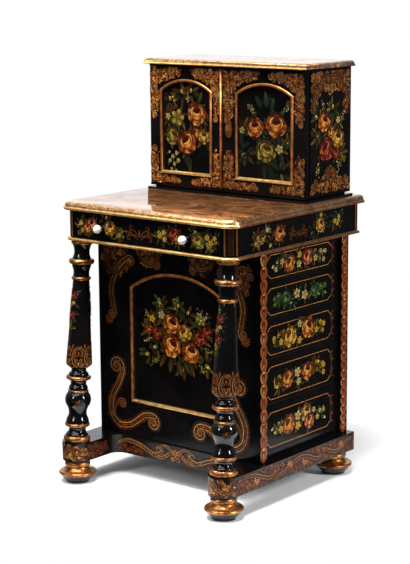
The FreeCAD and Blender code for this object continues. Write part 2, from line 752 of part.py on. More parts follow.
def build_lock():
    """The lock case, its sliding bolt and the escutcheon, all on the right door."""
    front = door_back - lock_depth
    hollows = [bolt_block(bolt_end_room, bolt_fit), key_way(front, lock_depth / 2)]
    save("door_lock_case", lock_block().cut(hollows))
    save("door_lock_bolt", bolt_block(0.0, 0.0))
    oval = Part.Ellipse(Vector(0, 0, 0), escutcheon_half_height, escutcheon_half_width).toShape()
    escutcheon = plate(Part.Wire([oval]), Vector(0, 0, escutcheon_thickness))
    escutcheon.rotate(Vector(0, 0, 0), Vector(0, 0, 1), 90)
    escutcheon.rotate(Vector(0, 0, 0), Vector(1, 0, 0), 90)
    escutcheon.translate(Vector(key_x, cabinet_front, lock_z))
    hole = key_way(cabinet_front - escutcheon_thickness, escutcheon_thickness)
    save("keyhole_escutcheon", escutcheon.cut(hole))


def build_meeting_bead():
    """The round gilt bead on the left door's edge, where the doors meet."""
    right = door_seam_x - running_gap
    left = right - meeting_bead_width
    middle = (left + right) / 2
    front = cabinet_front - meeting_bead_proud
    section = trace(flat, (left, cabinet_front), ((middle, front), (right, cabinet_front)),
                    (left, cabinet_front))
    bead = plate(section, Vector(0, 0, door_z1 - door_z0))
    save("meeting_bead", bead.translated(Vector(0, 0, door_z0)))


os.makedirs("parts", exist_ok=True)
build_plinth()
save("column_left", column(-1))
save("column_right", column(1))
build_case()
build_left_side()
build_side_drawers()
build_frieze()
build_frieze_drawer()
build_writing_top()
build_cabinet()
build_door("left", -1)
build_door("right", 1)
build_lock()
build_meeting_bead()
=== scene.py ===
import json
import math
import random

import bmesh
import bpy
import numpy as np
from mathutils import Matrix, Vector
from mathutils.bvhtree import BVHTree


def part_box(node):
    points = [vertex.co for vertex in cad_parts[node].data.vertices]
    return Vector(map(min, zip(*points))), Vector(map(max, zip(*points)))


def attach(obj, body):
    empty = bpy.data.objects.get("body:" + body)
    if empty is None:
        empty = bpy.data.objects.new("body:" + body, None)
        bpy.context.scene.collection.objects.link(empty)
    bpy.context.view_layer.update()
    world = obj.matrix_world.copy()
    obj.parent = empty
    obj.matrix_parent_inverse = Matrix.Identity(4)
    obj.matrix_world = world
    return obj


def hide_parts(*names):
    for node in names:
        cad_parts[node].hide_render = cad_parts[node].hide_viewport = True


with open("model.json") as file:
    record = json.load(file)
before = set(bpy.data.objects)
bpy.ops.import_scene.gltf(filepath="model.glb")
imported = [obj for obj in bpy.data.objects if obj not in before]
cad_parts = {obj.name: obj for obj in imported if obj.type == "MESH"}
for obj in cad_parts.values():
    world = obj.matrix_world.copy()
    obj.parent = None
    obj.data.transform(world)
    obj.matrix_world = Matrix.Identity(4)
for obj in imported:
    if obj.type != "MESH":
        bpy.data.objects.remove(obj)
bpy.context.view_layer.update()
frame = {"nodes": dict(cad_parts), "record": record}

MM = 0.001


# ---- The studio -----------------------------------------------------------------------------
# A round white floor under the desk, two softboxes overhead, an upright one before the desk and
# one at its right, and a surround that is white to the camera but lights the desk mostly from
# behind. The camera stands about four and a half metres off, at the right front.
CAMERA_PLACE = (2.731, -3.388, 1.385)
CAMERA_TURN, CAMERA_DIP, CAMERA_ROLL = 38.985, 11.0, -0.4
CAMERA_LENS = 105.4
FLOOR_PLACE, FLOOR_RADIUS = (0.1, 0.05, 0.0), 0.62
BACKDROP_SIDE = (-0.57, 0.71, 0.40)


def dial(node, **inputs):
    """Sets a shader node's inputs by name, each to a value or to another node's output."""
    for key, source in inputs.items():
        socket = node.inputs[key.replace("_", " ")]
        if isinstance(source, bpy.types.NodeSocket):
            node.id_data.links.new(source, socket)
        else:
            socket.default_value = source
    return node


def node_of(tree, kind, **inputs):
    """A new shader node with some inputs set by name."""
    return dial(tree.nodes.new("ShaderNode" + kind), **inputs)


def new_material(name):
    """A new material, its node tree and its shader."""
    material = bpy.data.materials.new(name)
    material.use_nodes = True
    return material, material.node_tree, material.node_tree.nodes["Principled BSDF"]


def plain_material(name, colour, roughness):
    """A plain material with one colour and one roughness."""
    material, _, shader = new_material(name)
    dial(shader, Base_Color=(*colour, 1.0), Roughness=roughness)
    return material


def deselect():
    """Leaves edit mode and selects nothing."""
    if bpy.context.object and bpy.context.object.mode != "OBJECT":
        bpy.ops.object.mode_set(mode="OBJECT")
    bpy.ops.object.select_all(action="DESELECT")


deselect()
bpy.ops.mesh.primitive_circle_add(vertices=96, radius=FLOOR_RADIUS, fill_type="NGON",
                                  location=FLOOR_PLACE)
floor = bpy.context.object
floor.name = "studio_floor"
floor.data.materials.append(plain_material("white_floor", (0.92, 0.92, 0.92), 0.9))

for name, place, target, size, power in (
        ("key_box", (0.15, -0.9, 3.6), (0, 0, 0), (2.0, 1.5), 190),
        ("overhead_box", (-0.4, -1.5, 3.2), (0, 0, 0), (2.6, 2.2), 90),
        ("front_box", (-0.55, -3.3, 1.9), (0, 0, 0.7), (0.55, 1.2), 48),
        ("side_box", (3.3, 0.35, 1.9), (0, 0, 0.7), (0.4, 1.2), 105)):
    bpy.ops.object.light_add(type="AREA", location=place)
    lamp = bpy.context.object
    lamp.name = name
    lamp.data.shape = "RECTANGLE"
    lamp.data.size, lamp.data.size_y = size
    lamp.data.energy = power
    lamp.rotation_euler = (Vector(target) - Vector(place)).to_track_quat("-Z", "Y").to_euler()

world = bpy.data.worlds.new("surround")
bpy.context.scene.world = world
world.use_nodes = True
sky = world.node_tree
sky.nodes.clear()
facing = node_of(sky, "VectorMath", Vector=node_of(sky, "TexCoord").outputs["Generated"])
facing.operation = "DOT_PRODUCT"
facing.inputs[1].default_value = Vector(BACKDROP_SIDE).normalized()
spread = node_of(sky, "MapRange", From_Min=-1.0, Value=facing.outputs["Value"])
glow = node_of(sky, "ValToRGB", Fac=spread.outputs["Result"])
levels = glow.color_ramp.elements
levels[0].color, levels[1].color = (0.03, 0.03, 0.033, 1), (1.5, 1.5, 1.55, 1)
for position, level in ((0.45, 0.04), (0.62, 0.15), (0.84, 0.25), (0.93, 0.5), (0.975, 1.4)):
    levels.new(position).color = (level, level, level, 1)
lit = node_of(sky, "Background", Color=glow.outputs["Color"])
seen = node_of(sky, "Background", Color=(1.0, 1.0, 1.0, 1))
choice = node_of(sky, "MixShader", Fac=node_of(sky, "LightPath").outputs["Is Camera Ray"])
sky.links.new(lit.outputs["Background"], choice.inputs[1])
sky.links.new(seen.outputs["Background"], choice.inputs[2])
node_of(sky, "OutputWorld", Surface=choice.outputs["Shader"])
bpy.context.scene.view_settings.view_transform = "Standard"

bpy.ops.object.camera_add(location=CAMERA_PLACE)
camera = bpy.context.object
camera.data.lens = CAMERA_LENS
aim = Matrix.Rotation(math.radians(CAMERA_TURN), 3, "Z")
aim = aim @ Matrix.Rotation(math.radians(90 - CAMERA_DIP), 3, "X")
aim = aim @ Matrix.Rotation(math.radians(CAMERA_ROLL), 3, "Z")
camera.rotation_euler = aim.to_euler()
bpy.context.scene.camera = camera


# ---- Feet -----------------------------------------------------------------------------------
# Four flattened bun feet, turned in beech. The rings and the upper half of each bun are water
# gilded over red bole, and the lower half is lacquered black like the rest of the desk.
WELD = 0.00001
SHARP_EDGE, SMOOTH_UNDER, FLAT_WITHIN = math.radians(40), math.radians(38), math.radians(0.3)


def dressed(node, edge):
    """A node's shape as one welded mesh, ready for its finish, with its outer edges softened
    wherever no joint between two boards meets them."""
    piece = bpy.data.objects.new(node + "_finished", frame["nodes"][node].data.copy())
    piece.data.materials.clear()
    bpy.context.scene.collection.objects.link(piece)
    deselect()
    piece.select_set(True)
    bpy.context.view_layer.objects.active = piece
    bpy.ops.object.mode_set(mode="EDIT")
    bpy.ops.mesh.select_all(action="SELECT")
    bpy.ops.mesh.remove_doubles(threshold=WELD)
    if edge:
        bpy.ops.mesh.dissolve_limited(angle_limit=FLAT_WITHIN)
    bpy.ops.object.mode_set(mode="OBJECT")
    if edge:
        shape = bmesh.new()
        shape.from_mesh(piece.data)
        chosen = shape.edges.layers.float.new("bevel_weight_edge")
        for side in shape.edges:
            free = side.is_manifold and all(corner.is_manifold for corner in side.verts)
            side[chosen] = free and side.calc_face_angle_signed() > SHARP_EDGE
        shape.to_mesh(piece.data)
        shape.free()
        soften = piece.modifiers.new("soften", "BEVEL")
        soften.width = edge * MM
        soften.segments = 2
        soften.limit_method = "WEIGHT"
        bpy.ops.object.modifier_apply(modifier=soften.name)
    bpy.ops.object.shade_smooth_by_angle(angle=SMOOTH_UNDER)
    if edge:
        even = piece.modifiers.new("even", "WEIGHTED_NORMAL")
        even.keep_sharp = True
        bpy.ops.object.modifier_apply(modifier=even.name)
    return piece


def ride_with(piece, node):
    """Lets a piece move with a node's body."""
    bodies = frame["record"]["behaviour"]["bodies"]
    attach(piece, [body for body, nodes in bodies.items() if node in nodes][0])


def finished(node, finishes, edge=0.0, zone=None):
    """Dresses a node's shape, which then stands for the node. Where it has more than one
    finish, zone returns the finish's number for the centre of a face."""
    piece = dressed(node, edge)
    for finish in finishes:
        piece.data.materials.append(finish)
    if zone:
        for face in piece.data.polygons:
            face.material_index = int(zone(face.center))
    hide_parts(node)
    ride_with(piece, node)


def mottle(tree, scale, detail=3.0, roughness=0.55):
    """A noise on the object's own coordinates."""
    places = node_of(tree, "TexCoord").outputs["Object"]
    return node_of(tree, "TexNoise", Scale=scale, Detail=detail, Roughness=roughness,
                   Vector=places).outputs["Fac"]


def ramp(tree, factor, *stops):
    """Colours by a factor, from stops of a position and a colour or a grey."""
    made = node_of(tree, "ValToRGB", Fac=factor)
    elements = made.color_ramp.elements
    while len(elements) < len(stops):
        elements.new(0.5)
    for element, (position, colour) in zip(elements, stops):
        element.position = position
        element.color = (*(colour if isinstance(colour, tuple) else (colour,) * 3), 1.0)
    return made.outputs["Color"]


def bump(shader, height, strength, distance):
    """A fine relief on a shader."""
    relief = node_of(shader.id_data, "Bump", Strength=strength, Distance=distance, Height=height)
    dial(shader, Normal=relief.outputs["Normal"])


def blend(tree, **inputs):
    """A mix of the colours A and B by a factor."""
    made = tree.nodes.new("ShaderNodeMix")
    made.data_type = "RGBA"
    return dial(made, **inputs)


def gilding(name, bright, dull, bole, wear, grain=260.0):
    """Gold leaf over red bole: a metal mottled by burnishing, rubbed through in small spots."""
    material, tree, shader = new_material(name)
    clouds = mottle(tree, 60.0, 5.0)
    rubbed = ramp(tree, mottle(tree, grain, 6.0, 0.7), (wear, 0), (wear + 0.06, 1))
    leaf = blend(tree, Factor=rubbed, A=ramp(tree, clouds, (0.38, dull), (0.60, bright)),
                 B=(*bole, 1.0))
    dial(shader, Metallic=0.85, Base_Color=leaf.outputs["Result"],
         Roughness=ramp(tree, clouds, (0.3, 0.42), (0.7, 0.28)))
    bump(shader, mottle(tree, 420.0), 0.25, 0.0004)
    return material


def lacquer(name, colour, haze=0.1, shine=0.085, coat=0.03):
    """Black japanning: many rubbed coats over gesso, deep and glossy, with a faint brown cloud."""
    material, tree, shader = new_material(name)
    brown = tuple(channel * 1.6 + warm for channel, warm in zip(colour, (0.002, 0.001, 0.0003)))
    dial(shader, Base_Color=ramp(tree, mottle(tree, 9.0, 4.0), (0.4, colour), (0.75, brown)),
         Roughness=ramp(tree, mottle(tree, 35.0, 5.0), (0.35, haze), (0.7, haze + 0.12)),
         Specular_IOR_Level=shine, Coat_Weight=coat, Coat_Roughness=0.03)
    bump(shader, mottle(tree, 14.0, 2.0), 0.05, 0.0006)
    return material


old_copper = gilding("old_copper_leaf", (0.50, 0.21, 0.058), (0.15, 0.045, 0.012),
                     (0.04, 0.011, 0.006), 0.55)
black = lacquer("black_japanning", (0.0020, 0.0018, 0.0020))
turned_black = lacquer("polished_black_turning", (0.0025, 0.0023, 0.0025), 0.05, 0.34, 0.14)

FOOT_GILT_FROM = 24.0 * MM

for corner in ("front_left", "front_right", "back_left", "back_right"):
    finished("foot_" + corner, (turned_black, old_copper),
             zone=lambda centre: centre.z > FOOT_GILT_FROM)


# ---- Plinth ---------------------------------------------------------------------------------
# A pine plinth under the case with two forward arms that carry the columns, veneered and
# lacquered black all over, with running scrolls in gold powder along its front and sides.
PLINTH = ("plinth_arms", "plinth_rails", "plinth_board")
plinth_black = lacquer("rubbed_black_plinth", (0.0022, 0.0020, 0.0022), 0.14, 0.2, 0.06)
for node in PLINTH:
    finished(node, (plinth_black,), edge=0.4)

FIRST_COAT, STROKE_RISE = 0.12, 0.006
EDGE_GAP = 0.6
PROBE_REACH = 60
DEGREES = 180 / math.pi


def tint(red, green, blue, gold_powder=0.0):
    """A paint colour from screen values of 0 to 255, with its share of gold powder."""
    return tuple((value / 255) ** 2.2 for value in (red, green, blue)) + (gold_powder,)


def flat_face(node, across, end):
    """A flat side of a node, at the low (0) or high (1) end of its box: turns measures across
    and up it, in mm, into places within its edges and the way out."""
    box = [np.array(corner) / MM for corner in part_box(node)]
    low, high = box[0] + EDGE_GAP, box[1] - EDGE_GAP
    across, up = np.array(across), np.array((0, 0, 1.0))
    out = np.cross(across, up)

    def place(u, v):
        u, v = np.clip(u, low @ across, high @ across), np.clip(v, low @ up, high @ up)
        return u[..., None] * across + v[..., None] * up + (box[end] @ out) * out, out
    return place


def front_face(node):
    """The front of a node, measured by X and Z."""
    return flat_face(node, (1.0, 0, 0), 0)


def right_face(node):
    """The right side of a node, measured by Y and Z."""
    return flat_face(node, (0, 1.0, 0), 1)


def probed_face(nodes, probe):
    """A rounded face, found by probes that start and point as probe(across, up) says."""
    corners, sides = [], []
    for node in nodes:
        mesh = frame["nodes"][node].data
        sides += [[len(corners) + corner for corner in face.vertices] for face in mesh.polygons]
        corners += [vertex.co / MM for vertex in mesh.vertices]
    surface = BVHTree.FromPolygons(corners, sides)

    def place(u, v):
        spots, outs = np.zeros(u.shape + (3,)), np.zeros(u.shape + (3,))
        for spot in np.ndindex(u.shape):
            start, way = probe(u[spot], v[spot])
            found, out, _, _ = surface.ray_cast(start, way)
            if found is None:
                found, out, _, _ = surface.find_nearest(start)
            spots[spot], outs[spot] = found, out if out.dot(way) < 0 else -out
        return spots, outs
    return place


def round_face(nodes, foot, radius, start=0.0, axis=(0, 0, 1)):
    """A face round an axis, measured round it by a radius, from a start, and up it."""
    foot, axis = Vector(foot), Vector(axis)

    def probe(u, v):
        angle = u / radius + start
        way = Vector((math.cos(angle), math.sin(angle), 0))
        return foot + axis * v + way * PROBE_REACH, -way
    return probed_face(nodes, probe)


def swell(count, peak=0.5, fullness=1.0):
    """The widths along a stroke that is pointed at both ends and widest at its peak."""
    run = np.linspace(0.0, 1.0, count) ** (math.log(0.5) / math.log(peak))
    return np.maximum(np.sin(np.pi * run), 0.0) ** fullness + 0.03


def polar(centre, angle, reach):
    """The place at an angle and a reach from a centre."""
    turn = math.radians(angle)
    return centre[0] + reach * math.cos(turn), centre[1] + reach * math.sin(turn)


def bearing(start, end):
    """The heading from one place to another, in degrees."""
    return math.degrees(math.atan2(end[1] - start[1], end[0] - start[0]))


def ways(path):
    """The way ahead and the way to the left at each place of a path."""
    ahead = np.gradient(path, axis=0)
    ahead /= np.maximum(np.linalg.norm(ahead, axis=1, keepdims=True), 1e-9)
    return ahead, np.stack((-ahead[:, 1], ahead[:, 0]), axis=1)


def curl(start, heading, *runs, step=2.2):
    """The path of a brush: runs of (length, turning at the start, turning at the end), in
    degrees per mm."""
    points, angle = [start], math.radians(heading)
    for length, turn, last_turn in runs:
        count = max(3, round(length / step))
        for number in range(count):
            share = (number + 0.5) / count
            angle += math.radians(turn + (last_turn - turn) * share) * length / count
            x, y = points[-1]
            points.append((x + math.cos(angle) * length / count,
                           y + math.sin(angle) * length / count))
    return np.array(points)


def through(*knots, step=3.0):
    """A smooth path through a few places."""
    knots = np.array(knots, float)
    ends = np.vstack((2 * knots[0] - knots[1], knots, 2 * knots[-1] - knots[-2]))
    path = [knots[0]]
    for before, a, b, after in zip(ends, ends[1:], ends[2:], ends[3:]):
        count = max(3, round(float(np.linalg.norm(b - a)) / step))
        for t in np.arange(1, count + 1) / count:
            path.append(0.5 * (2 * a + (b - before) * t
                               + (2 * before - 5 * a + 4 * b - after) * t ** 2
                               + (3 * a - before - 3 * b + after) * t ** 3))
    return np.array(path)


class Painting:
    """Paint and gold powder on one face, laid stroke over stroke."""

    # light scales all of a painting's colours, to paint one face lighter or darker than another:
    # painted light and shade.
    def __init__(self, face, seed, light=1.0):
        self.face = face
        self.light = np.array((light, light, light, 1.0))
        self.mirror = None
        self.coat = FIRST_COAT
        self.spots, self.sides, self.colours, self.total = [], [], [], 0
        self.chance = random.Random(seed)

    def stroke(self, path, width, palette, tones=(0.25, 0.75, 0.25), fade=(1.0, 1.0)):
        """One stroke along a path, with tones from its right edge to its left."""
        path = np.array(path, float)
        if self.mirror is not None:
            path[:, 0] = 2 * self.mirror - path[:, 0]
            tones = tones[::-1]
        reach = np.linspace(-0.5, 0.5, len(tones)) * (np.ones(len(path)) * width)[:, None]
        grid = path[:, None, :] + ways(path)[1][:, None, :] * reach[..., None]
        spots, out = self.face(grid[..., 0], grid[..., 1])
        self.spots.append((spots + out * self.coat).reshape(-1, 3))
        self.coat += STROKE_RISE
        tone = np.array(tones)[None, :] * np.linspace(*fade, len(path))[:, None]
        stops = np.linspace(0, 1, len(palette))
        self.colours.append(np.stack([np.interp(tone.ravel(), stops, channel)
                                      for channel in zip(*palette)], axis=1) * self.light)
        index = self.total + np.arange(tone.size).reshape(tone.shape)
        self.sides.append(np.stack((index[:-1, :-1], index[1:, :-1], index[1:, 1:],
                                    index[:-1, 1:]), axis=-1).reshape(-1, 4))
        self.total += tone.size

    def comma(self, start, heading, length, width, palette, bend=0.0, peak=0.45, fullness=1.0,
              **look):
        """A single pressed brush stroke."""
        count = max(4, min(9, round(length / 2.5)))
        path = curl(start, heading, (length, bend / length, bend / length), step=length / count)
        self.stroke(path, width * swell(len(path), peak, fullness), palette, **look)

    def crescent(self, centre, radius, start, end, width, palette, **look):
        """A stroke on an arc about a centre, from one angle to another."""
        count = max(5, min(12, round(radius * abs(end - start) / 130)))
        angles = np.radians(np.linspace(start, end, count))
        path = np.stack((np.cos(angles), np.sin(angles)), axis=1) * radius + centre
        self.stroke(path, width * swell(count), palette, **look)

    def dot(self, centre, size, palette, tone=0.8):
        """A round touch of the brush."""
        path = np.array(((-0.5, 0), (-0.35, 0), (0, 0), (0.35, 0), (0.5, 0))) * size + centre
        self.stroke(path, size * np.array((0.1, 0.72, 1.0, 0.72, 0.1)), palette,
                    tones=(tone * 0.8, tone, tone * 0.8))

    def side_by_side(self, items, layers=(1,), top=None):
        """Goes through items whose strokes lie beside each other and share a few coats: these
        layers in turn, and a top one for what follows."""
        coat = self.coat
        for number, item in enumerate(items):
            yield item
            self.coat = coat + layers[number % len(layers)] * STROKE_RISE
        if top:
            self.coat = coat + top * STROKE_RISE

    def finish(self, name, node, slot="black_lacquer"):
        """Makes the painting one piece that rides with its node."""
        mesh = bpy.data.meshes.new(name)
        mesh.from_pydata((np.concatenate(self.spots) * MM).tolist(), [],
                         np.concatenate(self.sides).tolist())
        paint = mesh.color_attributes.new("paint", "FLOAT_COLOR", "POINT")
        paint.data.foreach_set("color", np.concatenate(self.colours).ravel())
        mesh.materials.append(oil_paint)
        mesh.shade_smooth()
        return placed(name, mesh, node)


def placed(name, mesh, node):
    """A mesh as one piece that rides with a node."""
    piece = bpy.data.objects.new(name, mesh)
    bpy.context.scene.collection.objects.link(piece)
    ride_with(piece, node)
    return piece


def mirrored_copy(piece, name, node):
    """The same work on the desk's left side: a copy mirrored about the middle, faces out."""
    mesh = piece.data.copy()
    mesh.transform(Matrix.Scale(-1, 4, (1, 0, 0)))
    mesh.flip_normals()
    placed(name, mesh, node)


def paint_and_varnish():
    """Oil colours and gold powder under an old, slightly yellow varnish."""
    material, tree, shader = new_material("painted_decoration")
    paint = tree.nodes.new("ShaderNodeAttribute")
    paint.attribute_name = "paint"
    age = ramp(tree, mottle(tree, 170.0, 6.0, 0.7), (0.32, (0.30, 0.24, 0.18)),
               (0.48, (0.80, 0.75, 0.66)), (0.62, (1.1, 1.05, 0.95)), (0.75, (1.5, 1.45, 1.3)))
    aged = blend(tree, Factor=1.0, A=paint.outputs["Color"], B=age)
    aged.blend_type = "MULTIPLY"
    aged.clamp_result = False
    dial(shader, Base_Color=aged.outputs["Result"], Metallic=paint.outputs["Alpha"],
         Roughness=ramp(tree, mottle(tree, 300.0), (0.3, 0.3), (0.7, 0.5)),
         Specular_IOR_Level=0.16, Coat_Weight=0.05, Coat_Roughness=0.05)
    bump(shader, mottle(tree, 500.0, 2.0), 0.3, 0.0003)
    return material


oil_paint = paint_and_varnish()

GILT_GROUND = (tint(5, 2, 1), tint(44, 16, 7, 0.1), tint(96, 42, 17, 0.2))
GILT_LINE = (tint(44, 15, 5, 0.1), tint(178, 93, 33, 0.25), tint(255, 200, 114, 0.25))
GILT_RED = (tint(28, 8, 4), tint(128, 56, 22, 0.2), tint(220, 132, 58, 0.2))
GILT_WORN = (tint(18, 7, 3, 0.1), tint(98, 50, 20, 0.2), tint(184, 122, 56, 0.3))


def with_volutes(path, first, last):
    """A path that ends in volutes of these radii, negative for one that turns to the right."""
    for size in (last, first):
        if size:
            turn = 57.3 / size
            winding = curl(path[-1], bearing(path[-2], path[-1]),
                           (4.4 * abs(size), turn, 3.4 * turn), step=abs(size) / 5)
            path = np.vstack((path, winding[1:]))
        path = path[::-1]
    return path


def scroll(painting, path, width, seed=1, gleam=0.8, ends=(0, 0)):
    """A rococo scroll along a path, or through a few places, with volutes at its ends: a soft
    red shade fringed with hairs, two gold lines, and beads on the dark between them."""
    path = with_volutes(through(*path) if isinstance(path, tuple) else path, *ends)
    run = np.concatenate(((0,), np.cumsum(np.linalg.norm(np.diff(path, axis=0), axis=1))))
    shape = np.minimum(1.0, 0.28 + np.minimum(run, run[-1] - run) / (width * 6))
    ahead, left = ways(path)
    painting.stroke(path, width * 1.9 * shape, GILT_GROUND,
                    tones=(0.0, 0.25, 0.45, 0.0, 0.0, 0.0, 0.45, 0.25, 0.0))
    chance = random.Random(seed)
    hairs = [(index, side) for index in range(1, len(path) - 1) for side in (-1, 1)]
    for index, side in painting.side_by_side(hairs):
        at = path[index] + left[index] * side * width * 0.42 * shape[index]
        angle = bearing((0, 0), ahead[index]) + side * chance.uniform(30, 75)
        painting.comma(at, angle, width * chance.uniform(0.2, 0.7) * shape[index], width * 0.09,
                       chance.choice((GILT_LINE, GILT_RED, GILT_RED)), bend=side * 30,
                       tones=(0.0, gleam * chance.uniform(0.2, 1.0), 0.0), fade=(1.0, 0.3))
    for side, light in ((-1, 0.8), (1, 1.05)):
        painting.stroke(path + left * (side * width * 0.36 * shape)[:, None],
                        max(1.1, width * 0.13) * shape, GILT_LINE,
                        tones=(0.05, gleam * light, 0.05))
    for index in painting.side_by_side(range(2, len(path) - 2, 2)):
        painting.dot(path[index], width * 0.2 * shape[index], GILT_LINE,
                     gleam * chance.uniform(0.1, 0.9))


def fan(painting, centre, heading, size, leaves=7, arc=150, palette=GILT_LINE):
    """A small shell of pressed strokes spread about a heading."""
    painting.comma(centre, heading, size, size * 1.1, GILT_GROUND, fullness=0.6,
                   tones=(0.1, 0.6, 0.1))
    for number in painting.side_by_side(range(leaves)):
        turn = (number / (leaves - 1) - 0.5) * arc
        painting.comma(centre, heading + turn, size * (1 - abs(turn) / 400), size * 0.2, palette,
                       bend=turn * 0.35, peak=0.65, tones=(0.15, 0.85, 0.3), fade=(0.55, 1.0))


def inside(spot, outline):
    """Whether a place is within a closed outline."""
    x, y = spot
    crossings = 0
    for (ax, ay), (bx, by) in zip(outline, outline[1:] + outline[:1]):
        if (ay > y) != (by > y) and x < ax + (y - ay) / (by - ay) * (bx - ax):
            crossings += 1
    return crossings % 2 == 1


def thicket(painting, outline, spacing=7.5, gleam=1.0):
    """Close gilt foliage in an outline: little curls, beads and tongues over a worn red ground."""
    chance = painting.chance
    xs, ys = zip(*outline)
    spots = []
    for row in range(int((max(ys) - min(ys)) / spacing) + 1):
        for column in range(int((max(xs) - min(xs)) / spacing) + 1):
            spot = (min(xs) + (column + 0.5 * (row % 2) + chance.uniform(0.1, 0.5)) * spacing,
                    min(ys) + (row + chance.uniform(0.2, 0.6)) * spacing)
            if inside(spot, outline):
                spots.append(spot)
    for x, y in painting.side_by_side(spots, range(4), 4):
        depth = chance.uniform(0.0, 0.8) * gleam
        painting.comma((x - spacing * 0.8, y), 0, spacing * 1.6, spacing * 1.5, GILT_GROUND,
                       fullness=0.6, tones=(0.0, 0.5 * depth, 0.8 * depth, 0.4 * depth, 0.0))
    for centre in painting.side_by_side(spots[::4], range(3), 4):
        turn, glow = chance.uniform(0, 360), gleam * chance.uniform(0.5, 1.1)
        for reach, colours in ((1.05, GILT_LINE), (0.6, GILT_RED)):
            painting.crescent(centre, spacing * reach, turn, turn + 230, spacing * 0.24, colours,
                              tones=(0.0, glow, 0.0))
    for spot in painting.side_by_side(spots, range(4), 4):
        heading, hand = chance.uniform(0, 360), chance.choice((-1, 1))
        size = spacing * chance.uniform(0.8, 1.5)
        path = curl(polar(spot, heading, -size * 0.5), heading,
                    (size * 1.0, hand * 60 / size, hand * 130 / size),
                    (size * 1.3, hand * 200 / size, hand * 330 / size), step=spacing / 6)
        painting.stroke(path, spacing * 0.22 * swell(len(path), 0.4),
                        chance.choice((GILT_LINE, GILT_LINE, GILT_RED)),
                        tones=(0.0, gleam * chance.choice((0.25, 0.5, 0.75, 1.1)), 0.1))
    for x, y in painting.side_by_side(spots, range(4), 4):
        spot = (x + chance.uniform(-0.6, 0.6) * spacing, y + chance.uniform(-0.6, 0.6) * spacing)
        painting.dot(spot, spacing * chance.uniform(0.14, 0.38),
                     chance.choice((GILT_LINE, GILT_LINE, GILT_GROUND)),
                     gleam * chance.choice((0.0, 0.0, 0.8, 1.5)))


band = Painting(probed_face(PLINTH, lambda u, v: (Vector((u, -320, v)), Vector((0, 1, 0)))), 4)
for band.mirror in (None, -4.0):
    thicket(band, [(-208, 70), (-150, 68), (-110, 70), (-96, 76), (-120, 82), (-160, 88),
                   (-204, 84)], 6.0, 0.45)
    scroll(band, ((-208, 86), (-196, 95), (-176, 100), (-150, 99), (-122, 93), (-100, 84),
                  (-80, 78), (-62, 82), (-50, 92), (-58, 101), (-70, 97), (-68, 90)), 11, 1, 1.0)
    scroll(band, ((-84, 72), (-60, 71), (-40, 78), (-26, 88), (-12, 98)), 10, 3, 1.0, (0, -7))
    scroll(band, ((-56, 106), (-36, 108), (-20, 98), (-10, 84), (2, 74)), 10, 5, 1.0, (0, 7))
band.mirror = None
fan(band, (-4, 92), 90, 13, arc=240)
band.finish("plinth_front_scrolls", "plinth_rails")

inner = Painting(probed_face(("plinth_arms",),
                             lambda u, v: (Vector((-150, u, v)), Vector((-1, 0, 0)))), 7)
thicket(inner, [(-256, 70), (-200, 70), (-176, 76), (-178, 100), (-220, 106), (-256, 104)],
        6.5, 0.5)
scroll(inner, ((-254, 92), (-232, 98), (-210, 90), (-192, 80), (-176, 84)), 9, 2, 0.7)
arm_inside = inner.finish("plinth_left_arm_inner_scrolls", "plinth_arms")

band = Painting(probed_face(PLINTH, lambda u, v: (Vector((340, u, v)), Vector((-1, 0, 0)))), 5)
thicket(band, [(-256, 68), (-140, 68), (0, 68), (140, 68), (266, 68), (266, 108), (140, 107),
               (0, 108), (-140, 106), (-256, 107)], 6.5, 0.55)
for seed, ends, knots in (
        (1, (0, 7), ((-236, 98), (-204, 103), (-172, 98), (-142, 86), (-116, 79), (-94, 84))),
        (2, (6, 8), ((-82, 74), (-48, 80), (-14, 93), (22, 100), (58, 93), (86, 81), (106, 78))),
        (3, (6, -7), ((132, 98), (158, 84), (188, 78), (220, 88), (244, 99)))):
    scroll(band, knots, 11, seed, 0.75, ends)
for across, heading in ((-170, 250), (-30, 60), (40, 250), (205, 60)):
    fan(band, (across, 88), heading, 16)
plinth_side = band.finish("plinth_right_scrolls", "plinth_rails")

band = Painting(round_face(("plinth_arms",), (253, -257, 0), 40), 6)
thicket(band, [(-118, 72), (-60, 70), (-4, 72), (-4, 104), (-60, 106), (-118, 102), (-126, 88)],
        6.5)
scroll(band, ((-8, 80), (-30, 76), (-52, 84), (-66, 98), (-82, 98), (-84, 88), (-76, 86)), 10, 5)
arm_end = band.finish("plinth_right_arm_scrolls", "plinth_arms")

mirrored_copy(plinth_side, "plinth_left_scrolls", "plinth_rails")
mirrored_copy(arm_end, "plinth_left_arm_scrolls", "plinth_arms")
mirrored_copy(arm_inside, "plinth_right_arm_inner_scrolls", "plinth_arms")


# ---- Case -----------------------------------------------------------------------------------
# The pedestal: a lacquered front with a sunk arched panel in a gilt bead, pilasters at the
# corners with painted chains of gilt husks, and flowers in oil colours on the panel.
copper_bead = gilding("coppery_bead_leaf", (0.54, 0.22, 0.062), (0.28, 0.09, 0.024),
                      (0.09, 0.024, 0.012), 0.62)
for node in ("case_front_frame", "case_front_panel", "left_pilasters", "right_pilasters",
             "right_side_frame", "left_side_frame", "dummy_drawer_fronts"):
    finished(node, (black,), edge=0.6)
# The lit front leaf: gilt painted brighter on the fronts of mouldings, as painted light. The sides
# take the darker shaded leaf, as painted shade.
lit_front_gold = gilding("lit_front_moulding_leaf", (0.95, 0.62, 0.22), (0.66, 0.35, 0.10),
                     (0.20, 0.07, 0.02), 0.62)
LIT_BEAD_FOOT = 9.0 * MM


def gilt_bead(node):
    """A bead round a panel in coppery leaf, but for its foot, which takes the bright lit leaf:
    painted light on the bottom rail that faces up to the lamps.
    """
    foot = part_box(node)[0].z + LIT_BEAD_FOOT
    finished(node, (copper_bead, lit_front_gold), zone=lambda centre: centre.z < foot)


gilt_bead("case_front_bead")

